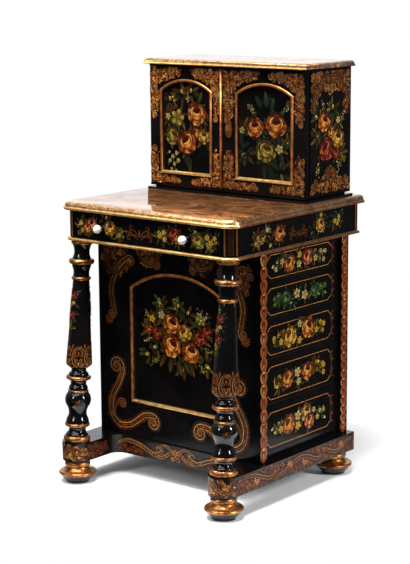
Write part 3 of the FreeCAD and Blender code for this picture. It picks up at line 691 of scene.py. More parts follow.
front = Painting(front_face("case_front_frame"), 11)
for front.mirror in (None, -4.0):
    scroll(front, ((-194, 300), (-195, 284), (-210, 252), (-226, 227), (-236, 196), (-231, 162),
                   (-214, 144), (-198, 139), (-166, 145), (-140, 162), (-117, 178), (-92, 182)),
           17, 2, 0.95, (28, -26))
    scroll(front, ((-222, 170), (-219, 190), (-206, 206)), 9, 3, 0.8, (0, -16))
    thicket(front, [(-256, 632), (-166, 632), (-150, 604), (-162, 580), (-184, 560), (-206, 548),
                    (-226, 540), (-246, 556), (-254, 590)], gleam=0.75)
    scroll(front, ((-170, 606), (-196, 586), (-216, 556), (-229, 518), (-226, 484), (-219, 452)),
           15, 4, 0.9, (-16, -14))
    fan(front, (-236, 436), -110, 20, palette=GILT_RED)
    scroll(front, ((-246, 600), (-240, 580), (-226, 566)), 9, 6, 0.8, (12, 14))
    thicket(front, [(-138, 632), (-56, 632), (-54, 606), (-68, 590), (-96, 588), (-122, 600)],
            gleam=0.75)
    scroll(front, ((-132, 624), (-112, 606), (-88, 600)), 9, 7, 0.8, (0, 13))
    fan(front, (-66, 600), -60, 17, palette=GILT_WORN)
front.finish("case_front_scrolls", "case_front_frame")

ROSE = (tint(30, 10, 4), tint(132, 60, 18), tint(208, 138, 48), tint(255, 216, 124))
AMBER = (tint(34, 22, 6), tint(124, 86, 24), tint(200, 156, 52), tint(250, 226, 130))
OLIVE = (tint(22, 21, 8), tint(82, 74, 26), tint(150, 136, 54), tint(220, 206, 112))
RED = (tint(22, 4, 4), tint(86, 20, 14), tint(150, 56, 34), tint(222, 130, 82))
PINK = (tint(40, 12, 8), tint(136, 58, 34), tint(204, 128, 76), tint(250, 208, 150))
TEAL = (tint(6, 12, 7), tint(20, 48, 28), tint(58, 98, 48), tint(156, 180, 98))
HEART = (tint(20, 3, 3), tint(82, 13, 9), tint(150, 46, 22))
UMBER = (tint(30, 14, 4), tint(104, 52, 12), tint(166, 96, 26))
LEAF = (tint(6, 9, 4), tint(29, 34, 12), tint(72, 74, 27), tint(138, 134, 60))
BROWN = (tint(9, 6, 3), tint(42, 30, 10), tint(92, 68, 24), tint(152, 120, 54))
BLUE = (tint(4, 8, 7), tint(17, 28, 20), tint(46, 62, 40), tint(116, 132, 84))
CREAM = (tint(56, 48, 22), tint(150, 134, 76), tint(240, 228, 168))
WHITE = (tint(58, 60, 44), tint(164, 162, 128), tint(250, 248, 226))
YELLOW = (tint(60, 40, 8), tint(164, 122, 30), tint(246, 214, 92))


def leaf(painting, root, heading, length, palette=LEAF, bend=25.0):
    """A rose leaf with a light midrib and one half in shade."""
    light = painting.chance.uniform(0.6, 1.1)
    painting.comma(root, heading, length, length * 0.5, palette, bend=bend, peak=0.42,
                   fullness=0.7, tones=(0.05, 0.34 * light, 0.78 * light, 0.56 * light, 0.1),
                   fade=(0.6, 1.05))


def rose(painting, centre, size, palette=ROSE, heart=HEART, tilt=0.0):
    """A full garden rose: outer petals, a bowl, a dark heart and bright turned lips."""
    chance = painting.chance

    def at(angle, reach):
        return polar(centre, angle + tilt, size * reach)

    outer = [(red, green * 0.7, blue * 0.8, powder) for red, green, blue, powder in palette]
    painting.comma(at(180, 1.15), tilt, size * 2.3, size * 2.2, palette, fullness=0.6,
                   tones=(0.0, 0.1, 0.2, 0.1, 0.0))
    for number in range(9):
        angle = number * 160 + chance.uniform(-16, 16)
        reach = chance.uniform(0.82, 1.16)
        light = 0.8 - 0.34 * math.sin(math.radians(angle)) + chance.uniform(-0.2, 0.2)
        colours = chance.choice((outer, outer, palette))
        painting.comma(at(angle, 0.2), angle + tilt, size * 0.8 * reach,
                       size * chance.uniform(0.56, 0.8), colours, peak=0.62, fullness=0.55,
                       bend=chance.uniform(-35, 35),
                       tones=(0.0, 0.34 * light, 0.6 * light, 0.4 * light, 0.0), fade=(0.4, 1.1))
        painting.crescent(at(angle + chance.uniform(-8, 8), 0.5 * reach), size * 0.42,
                          angle + tilt - 50, angle + tilt + 30, size * 0.12, palette,
                          tones=(0.2, chance.uniform(0.4, 1.1) * light, 0.1))
    painting.comma(at(-90, 0.66), 90 + tilt, size * 1.26, size * 1.16, palette, fullness=0.5,
                   peak=0.5, tones=(0.05, 0.45, 0.78, 0.6, 0.1), fade=(1.1, 0.55))
    painting.comma(at(146, 0.56), 2 + tilt, size * 0.94, size * 0.74, heart, fullness=0.55,
                   tones=(0.6, 0.25, 0.05, 0.15, 0.4))
    for reach, tone in ((0.34, 0.9), (0.2, 0.8)):
        painting.crescent(at(90, 0.24), size * reach, 20 + tilt, 180 + tilt, size * 0.08, heart,
                          tones=(0.2, tone, 0.15))
    for start, end, tones in ((115, 215, (0.95, 0.55, 0.15)), (65, -40, (0.1, 0.45, 0.85))):
        painting.crescent(at(90, 0.14), size * 0.54, start + tilt, end + tilt, size * 0.24,
                          palette, tones=tones)
    for drop, reach, width, colours, tone in ((0.24, 0.78, 0.14, outer, 0.3),
                                              (0.46, 0.52, 0.24, palette, 0.95)):
        turn = tilt + chance.uniform(-22, 22)
        painting.crescent(at(90 + chance.uniform(-10, 10), drop), size * reach, 205 + turn,
                          330 + turn, size * width, colours,
                          tones=(0.4 * tone, tone, 0.5 * tone), fade=(0.7, 1.0))


def blossom(painting, centre, size, palette=WHITE, eye=YELLOW, turn=0.0):
    """A small open flower of five petals with a dotted eye."""
    for angle in (turn, turn + 72, turn + 144, turn + 216, turn + 288):
        painting.comma(polar(centre, angle, size * 0.1), angle, size * 0.95, size * 0.8, palette,
                       peak=0.6, fullness=0.6, tones=(0.4, 0.75, 0.4), fade=(0.45, 1.15))
    painting.dot(centre, size * 0.5, eye, 0.35)
    painting.dot(centre, size * 0.25, eye, 1.0)


def bud(painting, root, heading, size, palette=YELLOW, green=LEAF):
    """A closed bud on its calyx."""
    painting.comma(root, heading, size, size * 0.6, palette, fullness=0.7,
                   tones=(0.4, 1.0, 0.6, 0.3))
    for side in (-1, 1):
        painting.comma(root, heading + side * 26, size * 0.62, size * 0.24, green,
                       bend=-side * 30, tones=(0.3, 0.8, 0.4))


def sprig(painting, root, heading, length, palette, green, bend=20.0, size=4.2):
    """A thin stalk of tiny flowers or berries."""
    chance = painting.chance
    path = curl(root, heading, (length, bend / length, bend / length))
    painting.stroke(path, np.linspace(1.4, 0.7, len(path)), green, tones=(0.4, 0.75, 0.4))
    touches = np.repeat(path[len(path) // 3:], 2, axis=0)
    for x, y in painting.side_by_side(touches, (1, 2, 0), 3):
        painting.dot((x + chance.uniform(-1.5, 1.5) * size, y + chance.uniform(-1.5, 1.5) * size),
                     size * chance.uniform(0.3, 0.8), palette, chance.uniform(0.1, 1.0))


def bouquet(painting, middle, flowers, sprigs, leaves=4, leaf_length=22.0, green=LEAF):
    """A bunch of flowers: leaves behind, then sprigs, then each bloom of (kind, x, y, size,
    colours)."""
    chance = painting.chance
    for kind, x, y, size, *colours in flowers:
        outward = bearing(middle, (x, y))
        for number in range(leaves + 2):
            heading = outward + (number - (leaves + 1) / 2) * 54 + chance.uniform(-20, 20)
            leaf(painting, polar((x, y), heading, size * 0.5), heading,
                 chance.uniform(0.75, 1.25) * leaf_length, chance.choice((green, green, BROWN)),
                 chance.uniform(-40, 40))
    for root, heading, length, palette in sprigs:
        sprig(painting, root, heading, length, palette, green, chance.uniform(-30, 30))
    for kind, x, y, size, *colours in flowers:
        if kind is rose:
            rose(painting, (x, y), size * 1.04, *colours, tilt=chance.uniform(-45, 45))
        elif kind is bud:
            bud(painting, (x, y), bearing(middle, (x, y)), size, *colours)
        else:
            blossom(painting, (x, y), size, *colours, turn=chance.uniform(0, 72))


# Painted light: the case panel's colours are raised by a fifth.
panel = Painting(front_face("case_front_panel"), 12, light=1.2)
bouquet(panel, (0, 400), (
    (blossom, -100, 418, 13, RED), (rose, -71, 412, 17, RED), (blossom, -88, 450, 10, YELLOW),
    (blossom, -56, 464, 11, CREAM), (rose, 74, 416, 19, RED), (rose, 99, 438, 16, RED),
    (blossom, 80, 466, 14, OLIVE, WHITE), (bud, 92, 350, 18), (bud, -98, 354, 17, OLIVE),
    (bud, -70, 376, 17, OLIVE), (bud, 32, 474, 14, ROSE), (bud, -56, 488, 13, CREAM),
    (bud, 2, 488, 13, CREAM), (rose, 24, 424, 22, AMBER, UMBER), (rose, -20, 442, 27),
    (rose, 45, 374, 27), (rose, -20, 384, 30), (bud, 16, 334, 16, BROWN)), (
    ((-54, 466), 104, 38, CREAM), ((-4, 470), 86, 40, CREAM), ((62, 452), 66, 40, WHITE),
    ((78, 462), 44, 30, WHITE), ((-84, 440), 140, 34, YELLOW), ((-86, 396), 196, 34, CREAM),
    ((84, 392), -16, 36, CREAM), ((-60, 352), 222, 46, OLIVE), ((70, 350), -52, 34, YELLOW)),
    leaves=5, leaf_length=27)
for x, z, heading in ((-20, 352, 250), (2, 348, 275), (-40, 358, 228), (22, 346, 300),
                      (40, 348, 285)):
    leaf(panel, (x, z), heading, 42, BROWN, 20)
panel.finish("case_front_flowers", "case_front_panel")

PILASTER_LOW, PILASTER_HIGH = 116.0, 658.0


def husks(painting, middle, width, pitch):
    """A chain of overlapping gilt husks from the top of a pilaster to its foot."""
    count = round((PILASTER_HIGH - PILASTER_LOW) / pitch)
    pitch = (PILASTER_HIGH - PILASTER_LOW) / count
    painting.stroke(((middle, PILASTER_LOW), (middle, PILASTER_HIGH)), width * 0.5, GILT_GROUND,
                    tones=(0.1, 0.3, 0.1))
    coat = painting.coat
    for number in reversed(range(count)):
        top = PILASTER_HIGH - number * pitch
        painting.comma((middle, top + pitch * 0.22), -90, pitch * 1.4, width, GILT_RED, peak=0.36,
                       fullness=0.9, tones=(0.2, 0.6, 0.3, 0.1, 0.0, 0.12, 0.5, 0.8, 0.3))
        for side in (-1, 1):
            glow = painting.chance.uniform(0.4, 0.95) * (0.7 if side > 0 else 1.0)
            knots = ((0.2, 0.10), (0.9, -0.22), (0.62, -0.6), (0.2, -0.84), (-0.1, -1.06))
            path = through(*((middle + side * width * 0.47 * out, top + pitch * up)
                             for out, up in knots), step=pitch / 8)
            painting.stroke(path, width * 0.15 * swell(len(path), fullness=0.6), GILT_LINE,
                            tones=(0.05, glow, 0.1))
        painting.comma((middle, top - pitch * 0.74), 90, pitch * 0.5, width * 0.24, GILT_LINE,
                       peak=0.4, fullness=0.8,
                       tones=(0.0, painting.chance.uniform(0.4, 0.9), 0.1))
        painting.dot((middle, top), width * 0.22, GILT_LINE, painting.chance.uniform(0.5, 1.1))
        painting.coat = coat + (5 * (number % 3) + 1) * STROKE_RISE


chains = Painting(right_face("right_pilasters"), 13)
husks(chains, -118.5, 29.0, 33.0)
husks(chains, 243.0, 27.0, 25.0)
right_chains = chains.finish("right_pilaster_husks", "right_pilasters", "gilt_wood")
mirrored_copy(right_chains, "left_pilaster_husks", "left_pilasters")


# ---- Plain wood inside ----------------------------------------------------------------------
# What is not seen from outside is plain waxed mahogany: drawer linings, runners, the back, the
# floor and the shelves of the cabinet. The rails' front edges are lacquered with the case.
def drawn_wood(name, stretch, colours, **figure):
    """Wood with a figure drawn out along X: its material, tree, shader and grain."""
    material, tree, shader = new_material(name)
    drawn = node_of(tree, "Mapping", Scale=stretch,
                    Vector=node_of(tree, "TexCoord").outputs["Object"])
    grain = node_of(tree, "TexNoise", Vector=drawn.outputs["Vector"], **figure).outputs["Fac"]
    dial(shader, Base_Color=ramp(tree, grain, *colours))
    return material, tree, shader, grain


mahogany, _, shader, grain = drawn_wood(
    "waxed_mahogany", (1.5, 14.0, 14.0),
    ((0.3, (0.045, 0.014, 0.006)), (0.7, (0.21, 0.072, 0.026))),
    Scale=3.0, Detail=9.0, Roughness=0.7, Distortion=0.6)
dial(shader, Roughness=0.45)
bump(shader, grain, 0.15, 0.0004)
for node in ("case_back", "case_floor_and_top", "case_left_side", "frieze_back",
             "frieze_drawer_guides", "frieze_drawer_box", "cabinet_back", "cabinet_shelves",
             *("side_drawer_%d_box" % number for number in range(1, 6))):
    finished(node, (mahogany,), edge=0.5)
rail_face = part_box("drawer_runners")[1].x - 1.5 * MM
finished("drawer_runners", (mahogany, black), 0.5,
         lambda centre: centre.x > rail_face)


# ---- Side drawers ---------------------------------------------------------------------------
# Five graduated drawers in the right side, lacquered fronts on mahogany linings. Each has a
# gilt line with canted corners, and a garland of flowers along its middle.
LINE_LEFT, LINE_RIGHT, CANT = -97.0, 198.0, 20.0
GARLAND_MIDDLE, GARLAND_REACH = 50, 108.0


def line_frame(painting, low, high):
    """A gilt line round a drawer with canted corners, and small brackets at its ends."""
    left, right = LINE_LEFT + CANT, LINE_RIGHT - CANT
    corners = [(left, low + 3), (right, low + 3), (LINE_RIGHT, low + CANT),
               (LINE_RIGHT, high - CANT), (right, high - 3), (left, high - 3),
               (LINE_LEFT, high - CANT), (LINE_LEFT, low + CANT)]
    for start, end in zip(corners, corners[1:] + corners[:1]):
        painting.stroke(np.linspace(start, end, 8), 1.9, GILT_LINE, tones=(0.35, 0.72, 0.35))
    middle, height = (low + high) / 2, high - low
    for x, hand in ((LINE_RIGHT + 1, 1), (LINE_LEFT - 1, -1)):
        for lift in (-1, 1):
            turn = hand * lift
            scroll(painting, curl((x - hand * 2, middle), lift * 90,
                                  (height * 0.32, turn * 1.2, -turn * 2.0),
                                  (height * 0.16, -turn * 5, -turn * 12)), 6.5, gleam=0.6)
            fan(painting, (x + hand * 3, middle + lift * height * 0.1),
                90 - hand * 90 + turn * 50, 9, leaves=5, arc=100, palette=GILT_RED)


def garland(painting, z, flowers, ends, green):
    """Flowers along the middle of a drawer, trailing out to sprigs and buds at both ends."""
    chance = painting.chance
    for hand in (-1, 1):
        ahead = 90 - hand * 90
        path = through(*((GARLAND_MIDDLE + hand * GARLAND_REACH * out, z + up)
                         for out, up in ((0, -2), (0.5, 5), (1, -3))))
        painting.stroke(path, np.linspace(2.0, 0.9, len(path)), green, tones=(0.3, 0.6, 0.3))
        for share in (0.45, 0.58, 0.70, 0.82, 0.94):
            for side in (-1, 1):
                leaf(painting, path[int(share * (len(path) - 1))],
                     ahead + side * chance.uniform(30, 70), chance.uniform(15, 24),
                     chance.choice((green, BROWN)), side * 25)
        for share, side in ((0.62, 1), (0.72, -1), (0.86, 1), (0.97, -1), (1.0, 1)):
            x, y = path[int(share * (len(path) - 1))]
            kind = chance.choice((blossom, bud, blossom))
            spot = (x + hand * chance.uniform(0, 8), y + side * chance.uniform(5, 13))
            if kind is bud:
                bud(painting, spot, ahead + side * 30, 14, ends, green)
            else:
                blossom(painting, spot, chance.uniform(5.5, 8.5), ends, turn=chance.uniform(0, 70))
        sprig(painting, (GARLAND_MIDDLE + hand * GARLAND_REACH * 0.8, z), ahead + 14, 26, ends,
              green, size=4.0)
    bouquet(painting, (GARLAND_MIDDLE, z), flowers, (), leaf_length=20, green=green)


for number, (low, high, ends, green, *flowers) in enumerate((
        (587.5, 654.0, CREAM, LEAF,
         (rose, 4, 619, 22), (rose, 82, 625, 21, PINK), (blossom, 44, 612, 10, CREAM),
         (blossom, 46, 636, 9, YELLOW), (blossom, 118, 618, 9, CREAM),
         (blossom, -30, 628, 9, CREAM)),
        (492.0, 567.0, TEAL, TEAL,
         (rose, -12, 530, 21, TEAL, BLUE), (blossom, 36, 535, 13, CREAM, RED),
         (blossom, 70, 526, 13, CREAM), (rose, 112, 533, 16, TEAL, BLUE),
         (bud, 16, 516, 13, OLIVE)),
        (387.0, 468.0, YELLOW, LEAF,
         (rose, 6, 425, 27, AMBER, UMBER), (rose, 86, 435, 27), (blossom, 48, 452, 10, CREAM),
         (blossom, 48, 408, 10, YELLOW), (blossom, -34, 418, 9, YELLOW),
         (blossom, 124, 424, 9, YELLOW)),
        (269.0, 361.5, YELLOW, BROWN,
         (rose, -4, 313, 23, ROSE, UMBER), (blossom, 40, 323, 13, CREAM), (rose, 84, 318, 23),
         (blossom, 44, 298, 10, CREAM), (bud, 122, 332, 17), (bud, -40, 302, 17)),
        (141.5, 239.5, CREAM, LEAF,
         (rose, 2, 189, 25), (blossom, 42, 205, 13, CREAM), (rose, 80, 206, 22, AMBER),
         (rose, 94, 179, 20, PINK), (blossom, 42, 178, 12, YELLOW),
         (blossom, -34, 184, 10, YELLOW))), 1):
    node = "side_drawer_%d_front" % number
    finished(node, (black,), edge=0.6)
    painted = Painting(right_face(node), 20 + number)
    line_frame(painted, low, high)
    garland(painted, (low + high) / 2, flowers, ends, green)
    mirrored_copy(painted.finish("side_drawer_%d_flowers" % number, node),
                  "dummy_drawer_%d_flowers" % number, "dummy_drawer_fronts")


# ---- Columns --------------------------------------------------------------------------------
# Two turned columns that lean forward to the plinth's arms. The turned rings are gilded and
# all the rest is lacquered. Roses trail down the shaft, and gilt scrolls climb from its foot.
COLUMN_GILT = ((0.0, 15.2), (41.9, 50.1), (134.9, 141.1), (169.9, 180.1), (440.9, 449.5),
               (483.9, 497.6), (536.5, 546.0))
COLUMN_LEAN = 6.0, 31.0, 548.0
SHAFT_RADIUS = 22.0
SHAFT_FRONT = math.radians(-50)

for side, sign in (("left", -1), ("right", 1)):
    node = "column_" + side
    low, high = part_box("foot_front_" + side)
    foot = (low + high) / 2
    foot.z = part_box(node)[0].z
    axis = Vector((-sign * COLUMN_LEAN[0], *COLUMN_LEAN[1:])).normalized()

    def in_a_ring(centre):
        """Whether a place is within one of the gilt rings."""
        height = (centre - foot).dot(axis) / MM
        return any(start <= height <= end for start, end in COLUMN_GILT)

    finished(node, (turned_black, old_copper), zone=in_a_ring)
    # Painted shade: the shaft's colours are lowered to eight tenths.
    shaft = Painting(round_face((node,), foot / MM, SHAFT_RADIUS, SHAFT_FRONT, axis),
                     30 + (sign > 0), light=0.8)
    for turn in range(-46, 92, 23):
        for shaft.mirror in (None, turn):
            scroll(shaft, ((turn - 1, 204), (turn - 7, 214), (turn - 10, 232), (turn - 8, 250),
                           (turn - 4, 260)), 6, gleam=0.9, ends=(0, -4.5))
            scroll(shaft, ((turn - 10, 206), (turn - 6, 216), (turn - 3, 228)), 5, ends=(0, 3.5))
        shaft.mirror = None
        fan(shaft, (turn, 208), 90, 16, leaves=5)
        fan(shaft, (turn, 238), 90, 14, leaves=5, palette=GILT_RED)
        fan(shaft, (turn + 11.5, 252), 90, 20, leaves=5, arc=110, palette=GILT_WORN)
    bouquet(shaft, (-24, 380), ((rose, -18, 402, 11, RED), (rose, -30, 374, 11, PINK),
                                (rose, -20, 350, 10, RED), (blossom, -16, 382, 5, CREAM),
                                (blossom, -28, 336, 5, YELLOW)),
            (((-22, 404), 90, 24, OLIVE), ((-24, 346), -84, 36, OLIVE)), leaf_length=15, green=BLUE)
    bouquet(shaft, (46, 380), ((rose, 50, 396, 11), (rose, 42, 368, 11, RED),
                               (blossom, 50, 346, 6, CREAM)),
            (((46, 404), 90, 24, CREAM), ((46, 350), -90, 36, CREAM)), leaf_length=15, green=BLUE)
    blossom(shaft, (2, 114), 6, RED)
    for heading in (160, 20, 250, 290):
        leaf(shaft, (2, 114), heading, 13, BLUE)
    shaft.finish(node + "_painting", node)


# ---- Frieze ---------------------------------------------------------------------------------
# The frieze holds one long drawer between quarter-round corner posts, on a gilt half-round
# moulding, with painted flowers and fine gilt tendrils along it.
for node in ("frieze_sides", "frieze_corner_posts", "frieze_drawer_front"):
    finished(node, (black,), edge=0.5)
shaded_gold = gilding("shaded_side_leaf", (0.46, 0.19, 0.07), (0.22, 0.075, 0.028),
                      (0.06, 0.02, 0.01), 0.58)


def on_a_side(centre, side, front):
    """Whether a place lies on the left or right side of a moulding, behind its front."""
    return abs(centre.x) > side and centre.y > front


# The moulding's front takes the lit leaf and its sides the shaded leaf: painted light and shade.
finished("frieze_base", (lit_front_gold, shaded_gold),
         zone=lambda centre: on_a_side(centre, 0.279, -0.236))
china = plain_material("white_china", (1.0, 0.99, 0.97), 0.15)
glaze = china.node_tree
cloud = mottle(glaze, 120.0, 4.0)
dial(glaze.nodes["Principled BSDF"], Roughness=ramp(glaze, cloud, (0.3, 0.1), (0.6, 0.22)),
     Base_Color=ramp(glaze, cloud, (0.3, (0.90, 0.88, 0.83)), (0.6, (1.0, 0.99, 0.97))))
# Each knob's neck, within 9 mm of the drawer front, is lacquered black and stands for the shade
# behind the china head: painted shade.
neck_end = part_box("frieze_drawer_front")[0].y - 9.0 * MM
finished("frieze_drawer_knobs", (china, turned_black),
         zone=lambda centre: centre.y > neck_end)


def tracery(painting, foot, reach):
    """Fine dim gilt tendrils on the bare black: pairs of leafy curls that spring from one foot."""
    for hand in (-1, 1):
        for start, heading, length, wind, width in (
                (3, 66, 30, -7, 2.2), (8, 30, 34, -8, 2.4), (5, 4, 44, 9, 2.3),
                (24, -30, 12, 12, 1.8), (34, 52, 10, -13, 1.7)):
            turn = hand * wind / reach
            path = curl((foot[0] + hand * start * reach, foot[1] + start * 0.3),
                        90 - hand * (90 - heading), (length * reach, 0.1 * turn, 0.4 * turn),
                        (20 * reach, turn, 2.2 * turn))
            painting.stroke(path, width * swell(len(path), 0.35, 0.7), GILT_WORN,
                            tones=(0.1, 0.6, 0.2))
            for index in range(3, len(path) - 3, 3):
                ahead = bearing(path[index], path[index + 1])
                for side in (-1, 1):
                    painting.comma(path[index], ahead + side * 50, 5.0 * reach, 1.7, GILT_WORN,
                                   bend=side * 30,
                                   tones=(0.0, painting.chance.uniform(0.3, 0.75), 0.1))
        painting.dot((foot[0] + hand * 7, foot[1] - 3), 3.0 * reach, GILT_WORN, 0.7)
    painting.comma(foot, 90, 24 * reach, 6.0 * reach, GILT_WORN, tones=(0.1, 0.6, 0.2))


drawer_front = Painting(front_face("frieze_drawer_front"), 41)
tracery(drawer_front, (-20, 690), 1.0)
bouquet(drawer_front, (-150, 704), (
    (rose, -184, 710, 17, PINK), (rose, -200, 700, 12, ROSE, UMBER), (blossom, -222, 712, 7, CREAM),
    (blossom, -218, 694, 6, OLIVE), (rose, -120, 706, 19, AMBER), (blossom, -92, 690, 6, OLIVE),
    (bud, -136, 728, 12)), (
    ((-205, 706), 170, 36, OLIVE), ((-104, 706), -10, 34, OLIVE), ((-210, 700), 215, 28, CREAM),
    ((-96, 702), -40, 28, OLIVE)), leaf_length=19, green=BROWN)
bouquet(drawer_front, (130, 706), (
    (blossom, 50, 704, 7, YELLOW), (blossom, 64, 714, 6, CREAM), (blossom, 66, 696, 7, YELLOW),
    (rose, 98, 712, 18, RED), (rose, 112, 700, 13, ROSE, UMBER), (rose, 176, 702, 19, OLIVE, UMBER),
    (blossom, 204, 714, 8, YELLOW), (blossom, 216, 700, 7, YELLOW), (bud, 160, 722, 12, CREAM),
    (blossom, 228, 714, 6, CREAM), (blossom, 210, 690, 6, OLIVE)), (
    ((80, 706), 176, 36, YELLOW), ((190, 706), 6, 42, YELLOW), ((190, 700), -24, 36, OLIVE)),
    leaf_length=19)
drawer_front.finish("frieze_drawer_flowers", "frieze_drawer_front")

frieze_side = Painting(right_face("frieze_sides"), 42)
tracery(frieze_side, (23, 688), 0.85)
bouquet(frieze_side, (-70, 706), (
    (rose, -58, 706, 21), (blossom, -112, 722, 6), (bud, -92, 686, 14, CREAM),
    (blossom, -150, 706, 6, YELLOW), (blossom, -160, 694, 5, CREAM)), (
    ((-110, 706), 206, 52, CREAM), ((-104, 708), 190, 56, YELLOW), ((-90, 712), 150, 30, WHITE)),
    leaves=5, leaf_length=21, green=BROWN)
bouquet(frieze_side, (120, 706), (
    (rose, 120, 706, 20, AMBER, UMBER), (blossom, 122, 732, 6, YELLOW),
    (blossom, 186, 708, 7, YELLOW), (blossom, 204, 718, 6, CREAM), (blossom, 198, 700, 6, YELLOW),
    (bud, 88, 692, 13, BLUE)), (
    ((170, 706), 4, 42, YELLOW), ((140, 700), -12, 40, BLUE), ((136, 716), 24, 36, BLUE)),
    leaves=5, green=BLUE)
FRIEZE_LOW, FRIEZE_HIGH = 672.0, 741.0
FRIEZE_BACK = 284.0
frieze_side.stroke(np.linspace((FRIEZE_BACK, FRIEZE_LOW), (FRIEZE_BACK, FRIEZE_HIGH), 10), 8.0,
                   GILT_WORN, tones=(0.2, 0.6, 0.3))
side_flowers = frieze_side.finish("frieze_right_flowers", "frieze_sides")
mirrored_copy(side_flowers, "frieze_left_flowers", "frieze_sides")

post = Painting(round_face(("frieze_corner_posts", "frieze_sides"), (254, -228, 0), DEGREES), 43)
for angle, width, tones in ((-84, 11.0, (0.3, 0.7, 0.3, 0.7, 0.3)),
                            (-10, 11.0, (0.3, 0.7, 0.3, 0.7, 0.3)), (-47, 2.2, (0.0, 0.5, 0.0))):
    post.stroke(np.linspace((angle, FRIEZE_LOW), (angle, FRIEZE_HIGH), 12), width, GILT_WORN,
                tones=tones)
for height in range(674, 736, 6):
    for hand in (-1, 1):
        post.stroke([(-47 + hand * out, height + up) for out, up in ((2, 0), (11, 2), (20, 5))],
                    (0.4, 1.7, 0.4), GILT_WORN, tones=(0.0, 0.7, 0.0))
right_post = post.finish("frieze_right_post_bands", "frieze_corner_posts")
mirrored_copy(right_post, "frieze_left_post_bands", "frieze_corner_posts")


# ---- Writing top ----------------------------------------------------------------------------
# One board, veneered in dark figured walnut and french polished to a mirror, with a carved and
# gilded edge: an ovolo above a round lip. The carving is shown by a mottled leaf.
walnut, tree, shader, _ = drawn_wood(
    "french_polished_walnut", (2.6, 4.2, 4.2),
    ((0.32, (0.045, 0.018, 0.009)), (0.44, (0.12, 0.046, 0.018)), (0.55, (0.235, 0.096, 0.034)),
     (0.68, (0.38, 0.175, 0.070))), Scale=3.2, Detail=9.0, Roughness=0.68, Distortion=2.2)
dial(shader, Roughness=ramp(tree, mottle(tree, 16.0, 5.0), (0.35, 0.025), (0.7, 0.09)),
     Specular_IOR_Level=0.6)
carved_gold = gilding("carved_edge_leaf", (0.92, 0.60, 0.28), (0.50, 0.26, 0.10),
                      (0.07, 0.028, 0.014), 0.50, 330.0)
shaded_carved_gold = gilding("carved_side_leaf", (0.62, 0.33, 0.14), (0.26, 0.11, 0.045),
                      (0.04, 0.016, 0.01), 0.48, 330.0)
TOP_SKIN = 0.05 * MM
top_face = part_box("writing_top")[1].z - TOP_SKIN
lip_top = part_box("writing_top")[0].z + 8.2 * MM


def top_zone(centre):
    """Gilt lip and carved ovolo, both in darker leaf along the sides as painted shade, and the
    polished face.
    """
    if centre.z > top_face:
        return 4
    return (0 if centre.z < lip_top else 1) + 2 * on_a_side(centre, 0.281, -0.240)


# Along the sides the lip and ovolo take darker, shaded leaf: painted shade.
finished("writing_top", (lit_front_gold, carved_gold, shaded_gold, shaded_carved_gold, walnut),
         zone=top_zone)


# ---- Cabinet --------------------------------------------------------------------------------
# The stationery cabinet stands on a thin base board. Its sides are lacquered, and its crowning
# board is polished on top and gilded on the edge.
for node in ("cabinet_base", "cabinet_boards", "cabinet_sides"):
    finished(node, (black,), edge=0.25)
cornice_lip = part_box("cabinet_cornice")[0].z + 5.1 * MM
cornice_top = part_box("cabinet_cornice")[1].z - TOP_SKIN


def cornice_zone(centre):
    """A bright gilt lip in the lit leaf as painted light, a worn ovolo, darker leaf on the sides as
    painted shade, and the polished top.
    """
    if centre.z > cornice_top:
        return 3
    if on_a_side(centre, 0.2625, 0.075):
        return 2
    return 0 if centre.z < cornice_lip else 1


finished("cabinet_cornice", (lit_front_gold, carved_gold, shaded_carved_gold, walnut),
         zone=cornice_zone)

side = Painting(right_face("cabinet_sides"), 51)
thicket(side, [(104, 1100), (278, 1100), (278, 1000), (262, 985), (250, 1010), (252, 1040),
               (228, 1052), (191, 1044), (154, 1052), (130, 1040), (132, 1010), (120, 985),
               (104, 1000)])
for side.mirror in (None, 191.0):
    scroll(side, ((176, 1088), (156, 1082), (140, 1066)), 9, 3, 0.8, (-12, 10))
    scroll(side, ((122, 1050), (114, 1028), (114, 1006)), 9, 4, 0.8, (-10, 9))
    thicket(side, [(104, 786), (191, 786), (191, 850), (176, 846), (160, 828), (140, 816),
                   (118, 812), (104, 816)])
    scroll(side, curl((186, 846), 180, (34, 3, 5), (30, 9, 16)), 11, 5)
    scroll(side, curl((112, 792), 10, (34, 2, 4), (26, 9, 17)), 10, 6)
side.mirror = None
bouquet(side, (188, 915), (
    (rose, 160, 970, 25), (rose, 222, 922, 26, AMBER), (rose, 168, 898, 29, RED),
    (rose, 190, 942, 14), (blossom, 222, 972, 9, CREAM), (bud, 128, 980, 15, CREAM),
    (bud, 196, 1000, 15), (bud, 236, 880, 14, BROWN), (blossom, 128, 936, 9, BROWN),
    (rose, 214, 884, 15, RED)), (
    ((160, 990), 100, 34, CREAM), ((176, 988), 74, 30, YELLOW), ((216, 880), -70, 44, CREAM),
    ((236, 890), -56, 34, YELLOW), ((140, 876), -110, 44, CREAM), ((232, 960), 50, 34, CREAM)),
    leaves=5, leaf_length=26)
right_side = side.finish("cabinet_right_painting", "cabinet_sides")
mirrored_copy(right_side, "cabinet_left_painting", "cabinet_sides")


# ---- Doors ----------------------------------------------------------------------------------
# Two doors with sunk arched panels in gilt beads, hung on brass centre pins, with a brass lock
# and a round gilt bead where they meet. Gilt foliage fills the corners round each arch.
brass = gilding("worn_brass", (0.85, 0.62, 0.28), (0.60, 0.38, 0.14), (0.20, 0.11, 0.04), 0.72)
for hinge_side in ("left", "right"):
    for part in ("_door_frame", "_door_panel"):
        finished(hinge_side + part, (black,), edge=0.25)
    gilt_bead(hinge_side + "_door_bead")
for node in ("left_door_pivots", "right_door_pivots", "pivot_plates", "door_lock_case",
             "door_lock_bolt"):
    finished(node, (brass,), edge=0.15)
finished("keyhole_escutcheon", (old_copper,), edge=0.15)
dim_copper = gilding("meeting_bead_leaf", (0.34, 0.13, 0.034), (0.17, 0.055, 0.015),
                     (0.06, 0.016, 0.008), 0.58)
finished("meeting_bead", (dim_copper,))


